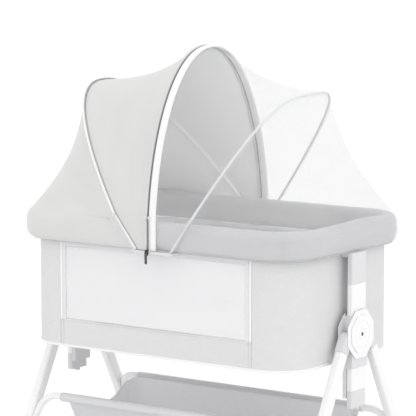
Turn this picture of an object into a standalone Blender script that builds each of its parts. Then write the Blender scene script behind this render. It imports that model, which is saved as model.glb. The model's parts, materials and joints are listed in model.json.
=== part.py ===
"""Bassinet on a folding A-frame stand: a fabric cot on height posts, a storage basket and a zip-open canopy.

Metres, +Z up. The origin is on the floor under the middle of the cot, with X along the cot and Y to its back.
"""

from math import asin, atan, cos, pi, radians, sin, tan

import bmesh
import bpy
from mathutils import Matrix, Vector

# Clearances
GAP = 0.0003  # between pieces that touch
SLIDE_GAP = 0.0005  # between pieces that slide or turn on each other

# Cot
RIM_LENGTH = 0.950
RIM_WIDTH = 0.600
RIM_CORNER = 0.130
RIM_HEIGHT = 0.078
RIM_PAD = 0.0075  # thickness of the padded cover
BODY_INSET = 0.032  # from the rim's outer face to the body's, at the ends
BODY_SIDE_INSET = 0.0275  # the same, at the long sides
BODY_BASE_Z = 0.400
BODY_HEIGHT = 0.300
FABRIC = 0.0024
TOP_TUBE_R = 0.011
TOP_TUBE_WALL = 0.0012
TOP_TUBE_DROP = 0.031  # from the crest of the rim to the tube's centre
BASE_TUBE_R = 0.008
BASE_TUBE_WALL = 0.001
BOARD_THICKNESS = 0.004
MATTRESS_THICKNESS = 0.034
MATTRESS_MARGIN = 0.010
WINDOW_MARGIN = 0.1665  # from the rim's outer face to the window, at each end
WINDOW_LENGTH = RIM_LENGTH - 2 * WINDOW_MARGIN
WINDOW_SILL = 0.077  # above the body's base
WINDOW_DROP = 0.013  # from the body's top edge to the window's
WINDOW_ZIP_WIDTH = 0.010
WINDOW_STEP = 0.0004  # of the mesh's face behind the panel's

# Height posts and hubs
POST_DEPTH = 0.018
POST_WIDTH = 0.070
POST_WALL = 0.0018
POST_CORNER = 0.004
POST_GAP = 0.022  # from the body's end to the post
POST_BOTTOM_Z = 0.324
POST_TOP_Z = 0.613
CAP_LENGTH = 0.046
PLUG_LENGTH = 0.030
PLUG_OVERLAP = 0.005  # of a plug with the piece that it belongs to
NECK_INSET = 0.006  # of the top bracket's neck from the post's sides
NECK_DROP = 0.012  # of the neck's underside below the bracket's top
HUB_Z = 0.477
HUB_PLATE_FLATS = 0.133
HUB_COVER_FLATS = 0.100
HUB_WALL = 0.002
BACK_PLATE = 0.003
SLEEVE_SIDE_WALL = 0.004
SLEEVE_BOTTOM_Z = 0.386
SLEEVE_TOP_Z = 0.5285
BOSS_R = 0.009
PIN_R = 0.005
SCREW_R = 0.003
SCREW_HEAD_R = 0.0052
SCREW_LENGTH = 0.0076
SCREW_HEAD = 0.0016
FRONT_PLATE_SHARE = 0.97  # of the plate behind it
COVER_THICKNESS = 0.004
COVER_BEVEL = 0.0014
GROOVE_SHARES = (0.74, 0.68)  # of the cover's flats
GROOVE_RADII = (0.0165, 0.0145)
GROOVE_DEPTH = 0.0010
RACK_THICKNESS = 0.011
RACK_BOTTOM_Z = 0.303
RACK_PITCH = 0.025
RACK_STOPS = 5
BOLT_Z = 0.400
BOLT_R = 0.004
BOLT_TRAVEL = 0.008
BUTTON_SIZE = 0.012
BUTTON_TRAVEL = 0.005
BUTTON_PROUD = 0.008
BUTTON_INSIDE = 0.012  # how far the button's block reaches up into the post
BUTTON_ROD_R = 0.003

# Stand
LEG_SPLAY = radians(27.9)
LEG_DEPTH = 0.025
LEG_WIDTH = 0.033
LEG_WALL = 0.0016
LEG_CORNER = 0.006
SOCKET_LENGTH = 0.050  # from the pin, along the leg
SOCKET_EYE_INSET = 0.006  # of the socket's round eye from the leg's edge
SOCKET_EYE_R = LEG_WIDTH / 2 - SOCKET_EYE_INSET
SOCKET_EYE_CLEAR = 0.0023  # from the sleeve's side to the socket's eye
LEG_PIVOT_Y = POST_WIDTH / 2 + SLIDE_GAP + SLEEVE_SIDE_WALL + SOCKET_EYE_CLEAR + SOCKET_EYE_R
SOCKET_BEVEL = 0.003
FOOT_HEIGHT = 0.042
FOOT_WALL = 0.0035
FOOT_POCKET = 0.020  # how far the leg stands in its foot
STRETCHER_R = 0.010
STRETCHER_WALL = 0.0012
STRETCHER_Z = 0.232
STRETCHER_BEND = 0.050
STRETCHER_MARGIN = 0.070  # from the rim's outer face to the end of the tube's straight length
STRETCHER_STRAIGHT = RIM_LENGTH / 2 - STRETCHER_MARGIN  # half its straight length
STRETCHER_DROP = 0.110

# Basket
BASKET_MARGIN = 0.075  # from the rim's outer face to the basket, at each end
BASKET_LENGTH = RIM_LENGTH - 2 * BASKET_MARGIN
BASKET_DEPTH = 0.135
BASKET_ABOVE = 0.004  # of its top edge above the cross tubes' centres
BASKET_CLEAR = 0.004  # from the cross tubes
BASKET_FLOOR = (0.96, 0.80)  # of its top's length and width
BASKET_END_DIP = 0.055
BASKET_DIP_REACH = 0.09  # from the long walls to where the ends are lowest
BASKET_WALL = 0.003
BASKET_CORNER = 0.045
BASKET_FILLET = 0.030

# Zip
SLIDER_WIDTH = 0.010
SLIDER_DEPTH = 0.004
SLIDER_RISE = 0.004  # above the rim's lower edge
SLIDER_DROP = 0.012  # below it
BAIL_R = 0.0027
BAIL_WIRE_R = 0.0008
PULL_STAND_OFF = 0.0022  # of the pull's axis from the slider's face
PULL_HALF = (0.004, 0.018)
PULL_THICKNESS = 0.0016
PULL_EYE_R = 0.0015
PULL_EYE_MARGIN = 0.0025  # from the eye to the pull's end

# Canopy: lean from upright, rise from the rim's lower edge, roundness across and up, front and back foot
HOOP_R = 0.003
HOOP_CLEAR = 0.005  # from the rim's outer face to the hoops' feet
HOOP_EYE_R = 0.0045
HOOP_EYE_LENGTH = 0.0035
PRONG_R = 0.0017
BRACKET_MARGIN = 0.008  # past the outermost hoops
BRACKET_THICKNESS = 0.007
BRACKET_LIP = 0.004  # past the hoops' wires
HOOP_PIVOT_RISE = 0.012  # of the hoops' hinges above the rim's crest
CANOPY_SKIN = 0.002
CANOPY_CLEAR = 0.007  # from a hoop's centre to the edge of the skin beside it
CANOPY_START = 0.07  # how far up the hoops the skins start, as a share of their arch
CANOPY_SAG = 0.3
CANOPY_INSET = 0.024  # from the rim's outer face to the skins' lower edges
CANOPY_LIFT = 0.004  # of those edges above the rim's crest
CANOPY_OPEN = 0.10  # from the cot's middle to where those edges begin
HOOP_STEPS = 34
LEFT_HOOP = dict(lean=-38.3, rise=0.537, across=2.31, up=1.36, front=-0.034, back=-0.050)
SHADE_HOOP = dict(lean=-0.4, rise=0.531, across=2.07, up=2.00, front=0.002, back=-0.041)
NET_HOOP = dict(lean=-0.4, rise=0.531, across=2.07, up=2.00, front=0.014, back=-0.029)
RIGHT_HOOP = dict(lean=35.5, rise=0.508, across=4.12, up=2.01, front=0.080, back=-0.030)

# Worked out from the above
RIM_TOP_Z = BODY_BASE_Z + BODY_HEIGHT + RIM_HEIGHT - 0.002
RIM_BOTTOM_Z = RIM_TOP_Z - RIM_HEIGHT
BODY_TOP_Z = RIM_BOTTOM_Z - GAP
HALF_RIM = (RIM_LENGTH / 2, RIM_WIDTH / 2)
HALF_BODY = (RIM_LENGTH / 2 - BODY_INSET, RIM_WIDTH / 2 - BODY_SIDE_INSET)
BODY_CORNER = RIM_CORNER - BODY_INSET + 0.010
TOP_TUBE_Z = RIM_TOP_Z - TOP_TUBE_DROP
TOP_TUBE_INSET = (BODY_INSET + BODY_SIDE_INSET) / 2 - 0.007
POST_INNER_X = HALF_BODY[0] + POST_GAP
POST_OUTER_X = POST_INNER_X + POST_DEPTH
RACK_INNER_X = POST_INNER_X - SLIDE_GAP - RACK_THICKNESS
HUB_WALL_X = POST_OUTER_X + SLIDE_GAP
LEG_MIDDLE_X = (POST_INNER_X + POST_OUTER_X) / 2
LEG_INNER_X = LEG_MIDDLE_X - LEG_DEPTH / 2
LEG_OUTER_X = LEG_MIDDLE_X + LEG_DEPTH / 2
LEG_LENGTH = HUB_Z / cos(LEG_SPLAY)  # from the pin to the floor
FOOT_Y = LEG_PIVOT_Y + HUB_Z * tan(LEG_SPLAY)
BOLT_LENGTH = POST_DEPTH - POST_WALL - BOLT_TRAVEL - 2 * SLIDE_GAP
HOOP_Y = RIM_WIDTH / 2 + HOOP_CLEAR
PIVOT_Z = RIM_TOP_Z + HOOP_PIVOT_RISE
BRACKET_Y = HOOP_Y + HOOP_R + BRACKET_LIP
ZIP_X = (SHADE_HOOP["front"] + NET_HOOP["front"]) / 2
SIDES = {"left": -1, "right": 1}
ENDS = {"front": -1, "rear": 1}


def material(name, colour, roughness, metallic=0.0, alpha=1.0):
    made = bpy.data.materials.new(name)
    made.use_nodes = True
    shader = made.node_tree.nodes["Principled BSDF"]
    shader.inputs["Base Color"].default_value = (*colour, 1.0)
    shader.inputs["Roughness"].default_value = roughness
    shader.inputs["Metallic"].default_value = metallic
    shader.inputs["Alpha"].default_value = alpha
    made.diffuse_color = (*colour, alpha)
    return made


def start():
    for found in list(bpy.data.objects):
        bpy.data.objects.remove(found, do_unlink=True)
    for name in ("bassinet_on_stand", "cutters"):
        made = bpy.data.collections.new(name)
        bpy.context.scene.collection.children.link(made)
    return (
        bpy.data.collections["bassinet_on_stand"],
        bpy.data.collections["cutters"],
        {
            "heather_fabric": material("heather_fabric", (0.72, 0.72, 0.73), 0.9),
            "rim_fabric": material("rim_fabric", (0.55, 0.55, 0.56), 0.9),
            "mesh_fabric": material("mesh_fabric", (0.88, 0.88, 0.90), 0.8, alpha=0.5),
            "shade_fabric": material("shade_fabric", (0.74, 0.73, 0.72), 0.6),
            "net_fabric": material("net_fabric", (0.93, 0.93, 0.95), 0.7, alpha=0.3),
            "basket_fabric": material("basket_fabric", (0.60, 0.60, 0.62), 0.9),
            "mattress_fabric": material("mattress_fabric", (0.92, 0.92, 0.92), 0.9),
            "floor_fabric": material("floor_fabric", (0.90, 0.90, 0.91), 0.7),
            "white_paint": material("white_paint", (0.90, 0.90, 0.90), 0.35),
            "white_plastic": material("white_plastic", (0.92, 0.92, 0.92), 0.4),
            "grey_plastic": material("grey_plastic", (0.62, 0.62, 0.64), 0.5),
            "board": material("board", (0.62, 0.50, 0.36), 0.8),
            "steel": material("steel", (0.55, 0.55, 0.57), 0.35, 1.0),
            "hoop_wire": material("hoop_wire", (0.80, 0.80, 0.81), 0.35, 1.0),
            "dark_metal": material("dark_metal", (0.10, 0.10, 0.11), 0.4, 1.0),
            "rubber": material("rubber", (0.16, 0.16, 0.17), 0.9),
        },
    )


PARTS, CUTTERS, MATERIALS = start()


def empty(name, location=(0, 0, 0), rotation=(0, 0, 0), parent=None):
    """A joint's or a sub-frame's own place, which its pieces are parented to."""
    made = bpy.data.objects.new(name, None)
    made.location, made.rotation_euler, made.parent = location, rotation, parent
    PARTS.objects.link(made)
    return made


def add(name, mesh, finish, parent=None, location=(0, 0, 0), rotation=(0, 0, 0), smooth=True):
    """A sub-part from a mesh, placed by its location and rotation under its parent."""
    mesh.name = name
    if smooth:
        mesh.shade_smooth()
        mesh.set_sharp_from_angle(angle=radians(35))
    made = bpy.data.objects.new(name, mesh)
    made.location, made.rotation_euler, made.parent = location, rotation, parent
    made.data.materials.append(MATERIALS[finish])
    PARTS.objects.link(made)
    return made


def cutter(mesh, parent=None, location=(0, 0, 0), rotation=(0, 0, 0)):
    made = bpy.data.objects.new(mesh.name, mesh)
    made.location, made.rotation_euler, made.parent = location, rotation, parent
    made.hide_render, made.display_type = True, "WIRE"
    CUTTERS.objects.link(made)
    return made


def combine(target, tool, operation="DIFFERENCE"):
    made = target.modifiers.new(operation.lower(), "BOOLEAN")
    made.operation, made.object, made.solver = operation, tool, "EXACT"
    return target


def mesh_of(bm, name):
    made = bpy.data.meshes.new(name)
    bm.normal_update()
    bm.to_mesh(made)
    bm.free()
    return made


def block(low, high, name="block"):
    """A box between two corners."""
    bm = bmesh.new()
    bmesh.ops.create_cube(bm, size=1.0)
    size = Vector(high) - Vector(low)
    bmesh.ops.scale(bm, vec=size, verts=bm.verts)
    bmesh.ops.translate(bm, vec=Vector(low) + size / 2, verts=bm.verts)
    return mesh_of(bm, name)


def circle(radius, y=0.0, segments=24):
    angles = [2 * pi * k / segments for k in range(segments)]
    return [(radius * cos(angle), y + radius * sin(angle)) for angle in angles]


def rod(radius, length, name="rod", segments=20):
    """A cylinder about Z, with its middle at the origin."""
    bm = bmesh.new()
    bmesh.ops.create_cone(bm, cap_ends=True, segments=segments, radius1=radius, radius2=radius, depth=length)
    return mesh_of(bm, name)


def turned(profile, name, segments=16):
    """A shape turned about Z from points of radius and height, the first and last of them on the axis."""
    bm = bmesh.new()
    verts = [bm.verts.new((radius, 0, height)) for radius, height in profile]
    edges = [bm.edges.new(pair) for pair in zip(verts, verts[1:])]
    bmesh.ops.spin(bm, geom=verts + edges, cent=(0, 0, 0), axis=(0, 0, 1), angle=2 * pi, steps=segments,
                   use_merge=True)
    bmesh.ops.remove_doubles(bm, verts=bm.verts, dist=0.000001)
    bmesh.ops.recalc_face_normals(bm, faces=bm.faces)
    return mesh_of(bm, name)


def rounded_outline(half_x, half_y, radius, steps=8):
    """Points of a rectangle with round corners, anticlockwise from its right side."""
    points = []
    for quarter, (sx, sy) in enumerate(((1, 1), (-1, 1), (-1, -1), (1, -1))):
        for step in range(steps + 1):
            angle = pi / 2 * (quarter + step / steps)
            points.append((
                sx * (half_x - radius) + radius * cos(angle),
                sy * (half_y - radius) + radius * sin(angle),
            ))
    return points


def rectangle(left, low, right, high):
    return [(left, low), (right, low), (right, high), (left, high)]


def octagon(flats):
    """Points of an octagon that stands on a flat side."""
    radius = flats / 2 / cos(pi / 8)
    return [(radius * cos(pi / 8 + k * pi / 4), radius * sin(pi / 8 + k * pi / 4)) for k in range(8)]


def spline_from(curve, points, cyclic):
    spline = curve.splines.new("POLY")
    spline.points.add(len(points) - 1)
    for place, point in zip(spline.points, points):
        place.co = (*point, 0, 1) if len(point) == 2 else (*point, 1)
    spline.use_cyclic_u = cyclic
    return spline


def as_mesh(curve, name):
    """The mesh of a curve, with its caps welded on."""
    carrier = bpy.data.objects.new(name, curve)
    bpy.context.scene.collection.objects.link(carrier)
    bpy.context.view_layer.update()
    evaluated = carrier.evaluated_get(bpy.context.evaluated_depsgraph_get())
    made = bpy.data.meshes.new_from_object(evaluated)
    bpy.data.objects.remove(carrier, do_unlink=True)
    bm = bmesh.new()
    bm.from_mesh(made)
    bmesh.ops.remove_doubles(bm, verts=bm.verts, dist=0.00001)
    bmesh.ops.recalc_face_normals(bm, faces=bm.faces)
    bm.to_mesh(made)
    bm.free()
    made.name = name
    return made


def slab(outlines, thickness, name="slab"):
    """Flat outlines in XY, the later ones holes in the first, with their thickness about Z = 0."""
    curve = bpy.data.curves.new(name, "CURVE")
    curve.dimensions, curve.fill_mode, curve.extrude = "2D", "BOTH", thickness / 2
    for outline in outlines:
        spline_from(curve, outline, True)
    return as_mesh(curve, name)


def bar(points, radius, name="bar", resolution=2, caps=True):
    """A round bar along a path, or without its caps the outer face of a tube."""
    curve = bpy.data.curves.new(name, "CURVE")
    curve.dimensions, curve.bevel_depth, curve.bevel_resolution = "3D", radius, resolution
    curve.use_fill_caps = caps
    spline_from(curve, points, False)
    return as_mesh(curve, name)


def standing(mesh):
    """Turns a slab in XY so that its X becomes Y, its Y becomes Z and its thickness runs along X."""
    mesh.transform(Matrix(((0, 0, 1, 0), (1, 0, 0, 0), (0, 1, 0, 0), (0, 0, 0, 1))))
    return mesh


def box_section(depth, width, corner, wall, bottom, top, name):
    """A rectangular tube with round corners along Z."""
    outer = rounded_outline(depth / 2, width / 2, corner, 4)
    inner = rounded_outline(depth / 2 - wall, width / 2 - wall, corner - wall, 4)
    made = slab([outer, inner], top - bottom, name)
    made.transform(Matrix.Translation((0, 0, (top + bottom) / 2)))
    return made


def wall(name, path, bottom, top, thickness, finish):
    """A fabric wall of even height along an anticlockwise path, thickened inwards."""
    made = add(name, loft([[(x, y, height) for x, y in path] for height in (bottom, top)], name), finish, BED)
    return thicken(made, thickness)


def thicken(target, thickness, offset=-1.0):
    made = target.modifiers.new("solidify", "SOLIDIFY")
    made.thickness, made.offset, made.use_even_offset = thickness, offset, True
    return target


def round_edges(target, width, segments=2):
    made = target.modifiers.new("bevel", "BEVEL")
    made.width, made.segments, made.limit_method = width, segments, "ANGLE"
    made.angle_limit = radians(40)
    return target


def swept_ring(profile, half_x, half_y, corner, name):
    """An open profile, given as outward offset and height, carried round a rounded rectangle."""
    loops = []
    for offset, height in profile:
        outline = rounded_outline(half_x + offset, half_y + offset, corner + offset, 6)
        loops.append([(x, y, height) for x, y in outline])
    return loft(loops, name, True)


def loft(rows, name, cyclic=False, floor=False):
    """A surface through rows of as many points each, closed at its first row or not."""
    bm = bmesh.new()
    grid = [[bm.verts.new(point) for point in row] for row in rows]
    if floor:
        bm.faces.new(grid[0][::-1])
    count = len(rows[0])
    for row, following in zip(grid, grid[1:]):
        for k in range(count if cyclic else count - 1):
            j = (k + 1) % count
            bm.faces.new((row[k], row[j], following[j], following[k]))
    return mesh_of(bm, name)


# Cot ----------------------------------------------------------------------------------------------


def bent_tube(name, half, corner, radius, thickness, height):
    """A steel tube bent into a rounded rectangle, with its two ends butted at the back."""
    outline = rounded_outline(*half, corner, 8)
    first = len(outline) // 4
    path = [(-GAP, half[1]), *outline[first:], *outline[:first], (GAP, half[1])]
    made = add(name, bar([(x, y, 0) for x, y in path], radius, caps=False), "steel", BED, (0, 0, height))
    return thicken(made, thickness)


def make_frames():
    """The steel loops that hold the cot open: one under the rim's cover, one round the floor."""
    half = [side - TOP_TUBE_INSET for side in HALF_RIM]
    bent_tube("top_frame", half, RIM_CORNER - TOP_TUBE_INSET, TOP_TUBE_R, TOP_TUBE_WALL, TOP_TUBE_Z)
    inset = FABRIC + BASE_TUBE_R + 4 * GAP
    half = [side - inset for side in HALF_BODY]
    height = BODY_BASE_Z + FABRIC + BASE_TUBE_R + 2 * GAP
    bent_tube("base_frame", half, BODY_CORNER - inset, BASE_TUBE_R, BASE_TUBE_WALL, height)


def make_floor():
    """Fabric floor, stiff board and mattress, one on top of the other."""
    inset = FABRIC + 2 * GAP
    outline = rounded_outline(HALF_BODY[0] - inset, HALF_BODY[1] - inset, BODY_CORNER - inset, 6)
    add("floor_panel", slab([outline], FABRIC), "floor_fabric", BED, (0, 0, BODY_BASE_Z + FABRIC / 2))
    board_z = BODY_BASE_Z + FABRIC + 2 * BASE_TUBE_R + 4 * GAP
    add("base_board", slab([outline], BOARD_THICKNESS), "board", BED, (0, 0, board_z + BOARD_THICKNESS / 2))
    margin = inset + MATTRESS_MARGIN
    outline = rounded_outline(HALF_BODY[0] - margin, HALF_BODY[1] - margin, BODY_CORNER - margin, 6)
    mattress = add(
        "mattress", slab([outline], MATTRESS_THICKNESS), "mattress_fabric", BED,
        (0, 0, board_z + BOARD_THICKNESS + GAP + MATTRESS_THICKNESS / 2),
    )
    round_edges(mattress, MATTRESS_THICKNESS / 4, 3)


def make_walls():
    """End panels that wrap round the corners, a panel with a window on each long side, and its mesh."""
    half_x, half_y = HALF_BODY
    window = WINDOW_LENGTH / 2
    outline = rounded_outline(half_x, half_y, BODY_CORNER, 8)
    right = [point for point in outline if point[0] > 0]
    turn = next(k for k, (x, y) in enumerate(right) if y < 0 and right[k - 1][1] > 0)
    right = right[turn:] + right[:turn]
    edge = window + WINDOW_ZIP_WIDTH + GAP
    path = [(edge, -half_y), *right, (edge, half_y)]
    for side, sign in SIDES.items():
        points = path if sign > 0 else [(-x, -y) for x, y in path]
        wall(f"end_panel_{side}", points, BODY_BASE_Z, BODY_TOP_Z, FABRIC, "heather_fabric")
    sill, head = BODY_BASE_Z + WINDOW_SILL, BODY_TOP_Z - WINDOW_DROP
    outer = rectangle(-edge + GAP, BODY_BASE_Z, edge - GAP, BODY_TOP_Z)
    hole = rectangle(-window - GAP, sill - GAP, window + GAP, head + GAP)
    for side, sign in (("front", -1), ("back", 1)):
        middle = (0, sign * (half_y - FABRIC / 2), 0)
        panel = slab([outer, hole], FABRIC)
        add(f"{side}_panel", panel, "heather_fabric", BED, middle, (pi / 2, 0, 0), smooth=False)
        pane = slab([rectangle(-window, sill, window, head)], FABRIC - 2 * WINDOW_STEP)
        add(f"{side}_window", pane, "mesh_fabric", BED, middle, (pi / 2, 0, 0), smooth=False)


def make_rim():
    """Padded cover over the top frame: outer face, crest and inner face, open underneath."""
    shape = [
        (-0.0030, RIM_BOTTOM_Z), (0.0, RIM_BOTTOM_Z + 0.020), (0.0, RIM_BOTTOM_Z + 0.048),
        (-0.0045, RIM_TOP_Z - 0.012), (-0.014, RIM_TOP_Z - 0.0025), (-0.0245, RIM_TOP_Z),
        (-0.035, RIM_TOP_Z - 0.0035), (-0.0430, RIM_TOP_Z - 0.014), (-0.0460, RIM_TOP_Z - 0.030),
        (-0.0450, RIM_BOTTOM_Z + 0.014),
    ]
    cover = add("rim_cover", swept_ring(shape, *HALF_RIM, RIM_CORNER, "rim_cover"), "rim_fabric", BED)
    thicken(cover, RIM_PAD)


# Height posts -------------------------------------------------------------------------------------


def end_frame(side):
    """A place at one end of the cot with its X pointing outwards, so that both ends are built alike."""
    return (0, 0, 0), (0, 0, 0 if side > 0 else pi)


def post_plug(bottom, top):
    """The block that fills a post's end."""
    inset = POST_WALL + GAP
    outline = rounded_outline(POST_DEPTH / 2 - inset, POST_WIDTH / 2 - inset, POST_CORNER - inset, 4)
    made = slab([outline], top - bottom, "plug")
    made.transform(Matrix.Translation((0, 0, (top + bottom) / 2)))
    return made


def make_posts():
    """Rectangular height posts, the brackets that hang the top frame on them, and their lower caps."""
    middle = (POST_INNER_X + POST_OUTER_X) / 2
    tube_x = HALF_RIM[0] - TOP_TUBE_INSET
    for name, sign in SIDES.items():
        place = empty(f"{name}_end", *end_frame(sign), BED)
        post = box_section(POST_DEPTH, POST_WIDTH, POST_CORNER, POST_WALL, POST_BOTTOM_Z, POST_TOP_Z, "post")
        post = add(f"post_{name}", post, "white_paint", place, (middle, 0, 0))
        hole = cutter(rod(BOLT_R + SLIDE_GAP, 3 * POST_WALL), place, (POST_INNER_X, 0, BOLT_Z), (0, pi / 2, 0))
        combine(post, hole)

        outline = rounded_outline(POST_DEPTH / 2, POST_WIDTH / 2, POST_CORNER, 4)
        top = BODY_TOP_Z - GAP
        bracket = slab([outline], top - POST_TOP_Z - GAP, "top_bracket")
        bracket.transform(Matrix.Translation((middle, 0, (top + POST_TOP_Z + GAP) / 2)))
        bracket = add(f"top_bracket_{name}", bracket, "grey_plastic", place)
        plug = post_plug(POST_TOP_Z - PLUG_LENGTH, POST_TOP_Z + PLUG_OVERLAP)
        combine(bracket, cutter(plug, place, (middle, 0, 0)), "UNION")
        side = POST_WIDTH / 2 - NECK_INSET
        neck_low = (HALF_BODY[0] + 4 * GAP, -side, top - NECK_DROP)
        combine(bracket, cutter(block(neck_low, (middle, side, top), "ledge"), place), "UNION")
        neck_high = (tube_x + TOP_TUBE_R - 3 * GAP, side, TOP_TUBE_Z - NECK_INSET / 2)
        combine(bracket, cutter(block(neck_low, neck_high, "neck"), place), "UNION")
        saddle = rod(TOP_TUBE_R + GAP, POST_WIDTH, "saddle", 32)
        combine(bracket, cutter(saddle, place, (tube_x, 0, TOP_TUBE_Z), (pi / 2, 0, 0)))

        cap = slab([outline], CAP_LENGTH, "post_cap")
        cap.transform(Matrix.Translation((middle, 0, POST_BOTTOM_Z - GAP - CAP_LENGTH / 2)))
        cap = add(f"post_cap_{name}", cap, "grey_plastic", place)
        plug = post_plug(POST_BOTTOM_Z - PLUG_OVERLAP, POST_BOTTOM_Z + PLUG_LENGTH)
        combine(cap, cutter(plug, place, (middle, 0, 0)), "UNION")
        half = BUTTON_SIZE / 2 + SLIDE_GAP
        low = (middle - half, -half, POST_BOTTOM_Z - 2 * CAP_LENGTH)
        high = (middle + half, half, POST_BOTTOM_Z + 2 * PLUG_LENGTH)
        combine(cap, cutter(block(low, high, "button_way"), place))


def make_release():
    """Button under each post, whose rod runs up inside it to the bolt that locks the height."""
    middle = (POST_INNER_X + POST_OUTER_X) / 2
    for name, sign in SIDES.items():
        place = empty(f"{name}_button_slide", *end_frame(sign), BED)
        half = BUTTON_SIZE / 2
        bottom = POST_BOTTOM_Z - CAP_LENGTH - BUTTON_PROUD
        shoulder = POST_BOTTOM_Z + BUTTON_INSIDE
        top = BOLT_Z - 2 * BOLT_R - BUTTON_TRAVEL
        button = add(
            f"release_button_{name}",
            block((middle - half, -half, bottom), (middle + half, half, shoulder)),
            "grey_plastic", place,
        )
        foot = shoulder - PLUG_OVERLAP
        rise = rod(BUTTON_ROD_R, top - foot)
        combine(button, cutter(rise, place, (middle, 0, (top + foot) / 2)), "UNION")
        place = empty(f"{name}_bolt_slide", *end_frame(sign), BED)
        inner = POST_INNER_X + SLIDE_GAP
        bolt = add(f"lock_bolt_{name}", rod(BOLT_R, BOLT_LENGTH), "steel", place,
                   (inner + BOLT_LENGTH / 2, 0, BOLT_Z), (0, pi / 2, 0))
        round_edges(bolt, BOLT_R / 7, 1)


# Hubs ---------------------------------------------------------------------------------------------


def make_hubs():
    """Sleeve that the post slides in, with plates each side of the legs and a pin through each socket."""
    half = POST_WIDTH / 2 + SLIDE_GAP
    outer = half + SLEEVE_SIDE_WALL
    back_x = LEG_INNER_X - SLIDE_GAP - BACK_PLATE
    plate_x = LEG_OUTER_X + SLIDE_GAP
    cover_x = plate_x + HUB_WALL + GAP
    for name, sign in SIDES.items():
        place = empty(f"{name}_hub", *end_frame(sign), HUBS)
        housing = add(
            f"hub_housing_{name}",
            block((RACK_INNER_X, -outer, SLEEVE_BOTTOM_Z), (HUB_WALL_X + HUB_WALL, outer, SLEEVE_TOP_Z)),
            "grey_plastic", place,
        )
        back = standing(slab([octagon(HUB_PLATE_FLATS)], BACK_PLATE, "back_plate"))
        combine(housing, cutter(back, place, (back_x + BACK_PLATE / 2, 0, HUB_Z)), "UNION")
        boss_end = plate_x - GAP
        pins = [(BOSS_R, HUB_WALL_X + HUB_WALL / 2, 0)]
        pins += [(PIN_R, back_x + BACK_PLATE / 2, way * LEG_PIVOT_Y) for way in ENDS.values()]
        for radius, root, y in pins:
            pin = rod(radius, boss_end - root, "pin", 32)
            combine(housing, cutter(pin, place, ((boss_end + root) / 2, y, HUB_Z), (0, pi / 2, 0)), "UNION")
        past = HUB_WALL
        low = (RACK_INNER_X - past, -half, SLEEVE_BOTTOM_Z - past)
        way = block(low, (HUB_WALL_X, half, SLEEVE_TOP_Z + past))
        combine(housing, cutter(way, place))
        low = (back_x - past, -half, HUB_Z - HUB_PLATE_FLATS)
        plate_way = block(low, (HUB_WALL_X, half, HUB_Z + HUB_PLATE_FLATS))
        combine(housing, cutter(plate_way, place))
        length = boss_end - HUB_WALL_X
        bore = rod(SCREW_R + GAP, 3 * length, "screw_hole")
        combine(housing, cutter(bore, place, (boss_end, 0, HUB_Z), (0, pi / 2, 0)))

        rack = add(
            f"height_rack_{name}",
            block((RACK_INNER_X, -half + GAP, RACK_BOTTOM_Z),
                  (RACK_INNER_X + RACK_THICKNESS, half - GAP, SLEEVE_TOP_Z)),
            "grey_plastic", place,
        )
        for stop in range(RACK_STOPS):
            height = BOLT_Z + RACK_PITCH * (stop - (RACK_STOPS - 1) / 2)
            hole = rod(BOLT_R + SLIDE_GAP, 3 * RACK_THICKNESS, "rack_hole", 12)
            combine(rack, cutter(hole, place, (RACK_INNER_X, 0, height), (0, pi / 2, 0)))

        outlines = [octagon(HUB_PLATE_FLATS * FRONT_PLATE_SHARE), circle(SCREW_R + GAP)]
        plate = standing(slab(outlines, HUB_WALL, "hub_front_plate"))
        add(f"hub_front_plate_{name}", plate, "white_plastic", place, (plate_x + HUB_WALL / 2, 0, HUB_Z))

        cover = standing(slab([octagon(HUB_COVER_FLATS)], COVER_THICKNESS, "hub_cover"))
        at = (cover_x + COVER_THICKNESS / 2, 0, HUB_Z)
        cover = add(f"hub_cover_{name}", cover, "white_plastic", place, at)
        round_edges(cover, COVER_BEVEL, 2)
        face = cover_x + COVER_THICKNESS
        rings = ([octagon(HUB_COVER_FLATS * share) for share in GROOVE_SHARES], [circle(r) for r in GROOVE_RADII])
        for outlines in rings:
            ring = standing(slab(outlines, 2 * GROOVE_DEPTH, "groove"))
            combine(cover, cutter(ring, place, (face, 0, HUB_Z)))
        seat = rod(SCREW_HEAD_R + GAP, COVER_THICKNESS, "screw_seat", 16)
        combine(cover, cutter(seat, place, (face, 0, HUB_Z), (0, pi / 2, 0)))
        through = rod(SCREW_R + GAP, 3 * COVER_THICKNESS, "screw_hole", 16)
        combine(cover, cutter(through, place, (face, 0, HUB_Z), (0, pi / 2, 0)))

        head = face - COVER_THICKNESS / 2 + GAP
        profile = [(0, head - SCREW_LENGTH), (SCREW_R, head - SCREW_LENGTH), (SCREW_R, head),
                   (SCREW_HEAD_R, head), (SCREW_HEAD_R, head + SCREW_HEAD), (0, head + SCREW_HEAD)]
        screw = turned(profile, "screw")
        screw.transform(Matrix.Rotation(0 if sign > 0 else pi, 4, "Z") @ Matrix.Translation((0, 0, HUB_Z))
                        @ Matrix.Rotation(pi / 2, 4, "Y"))
        add(f"hub_screw_{name}", screw, "dark_metal", HUBS)


# Stand --------------------------------------------------------------------------------------------


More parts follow.
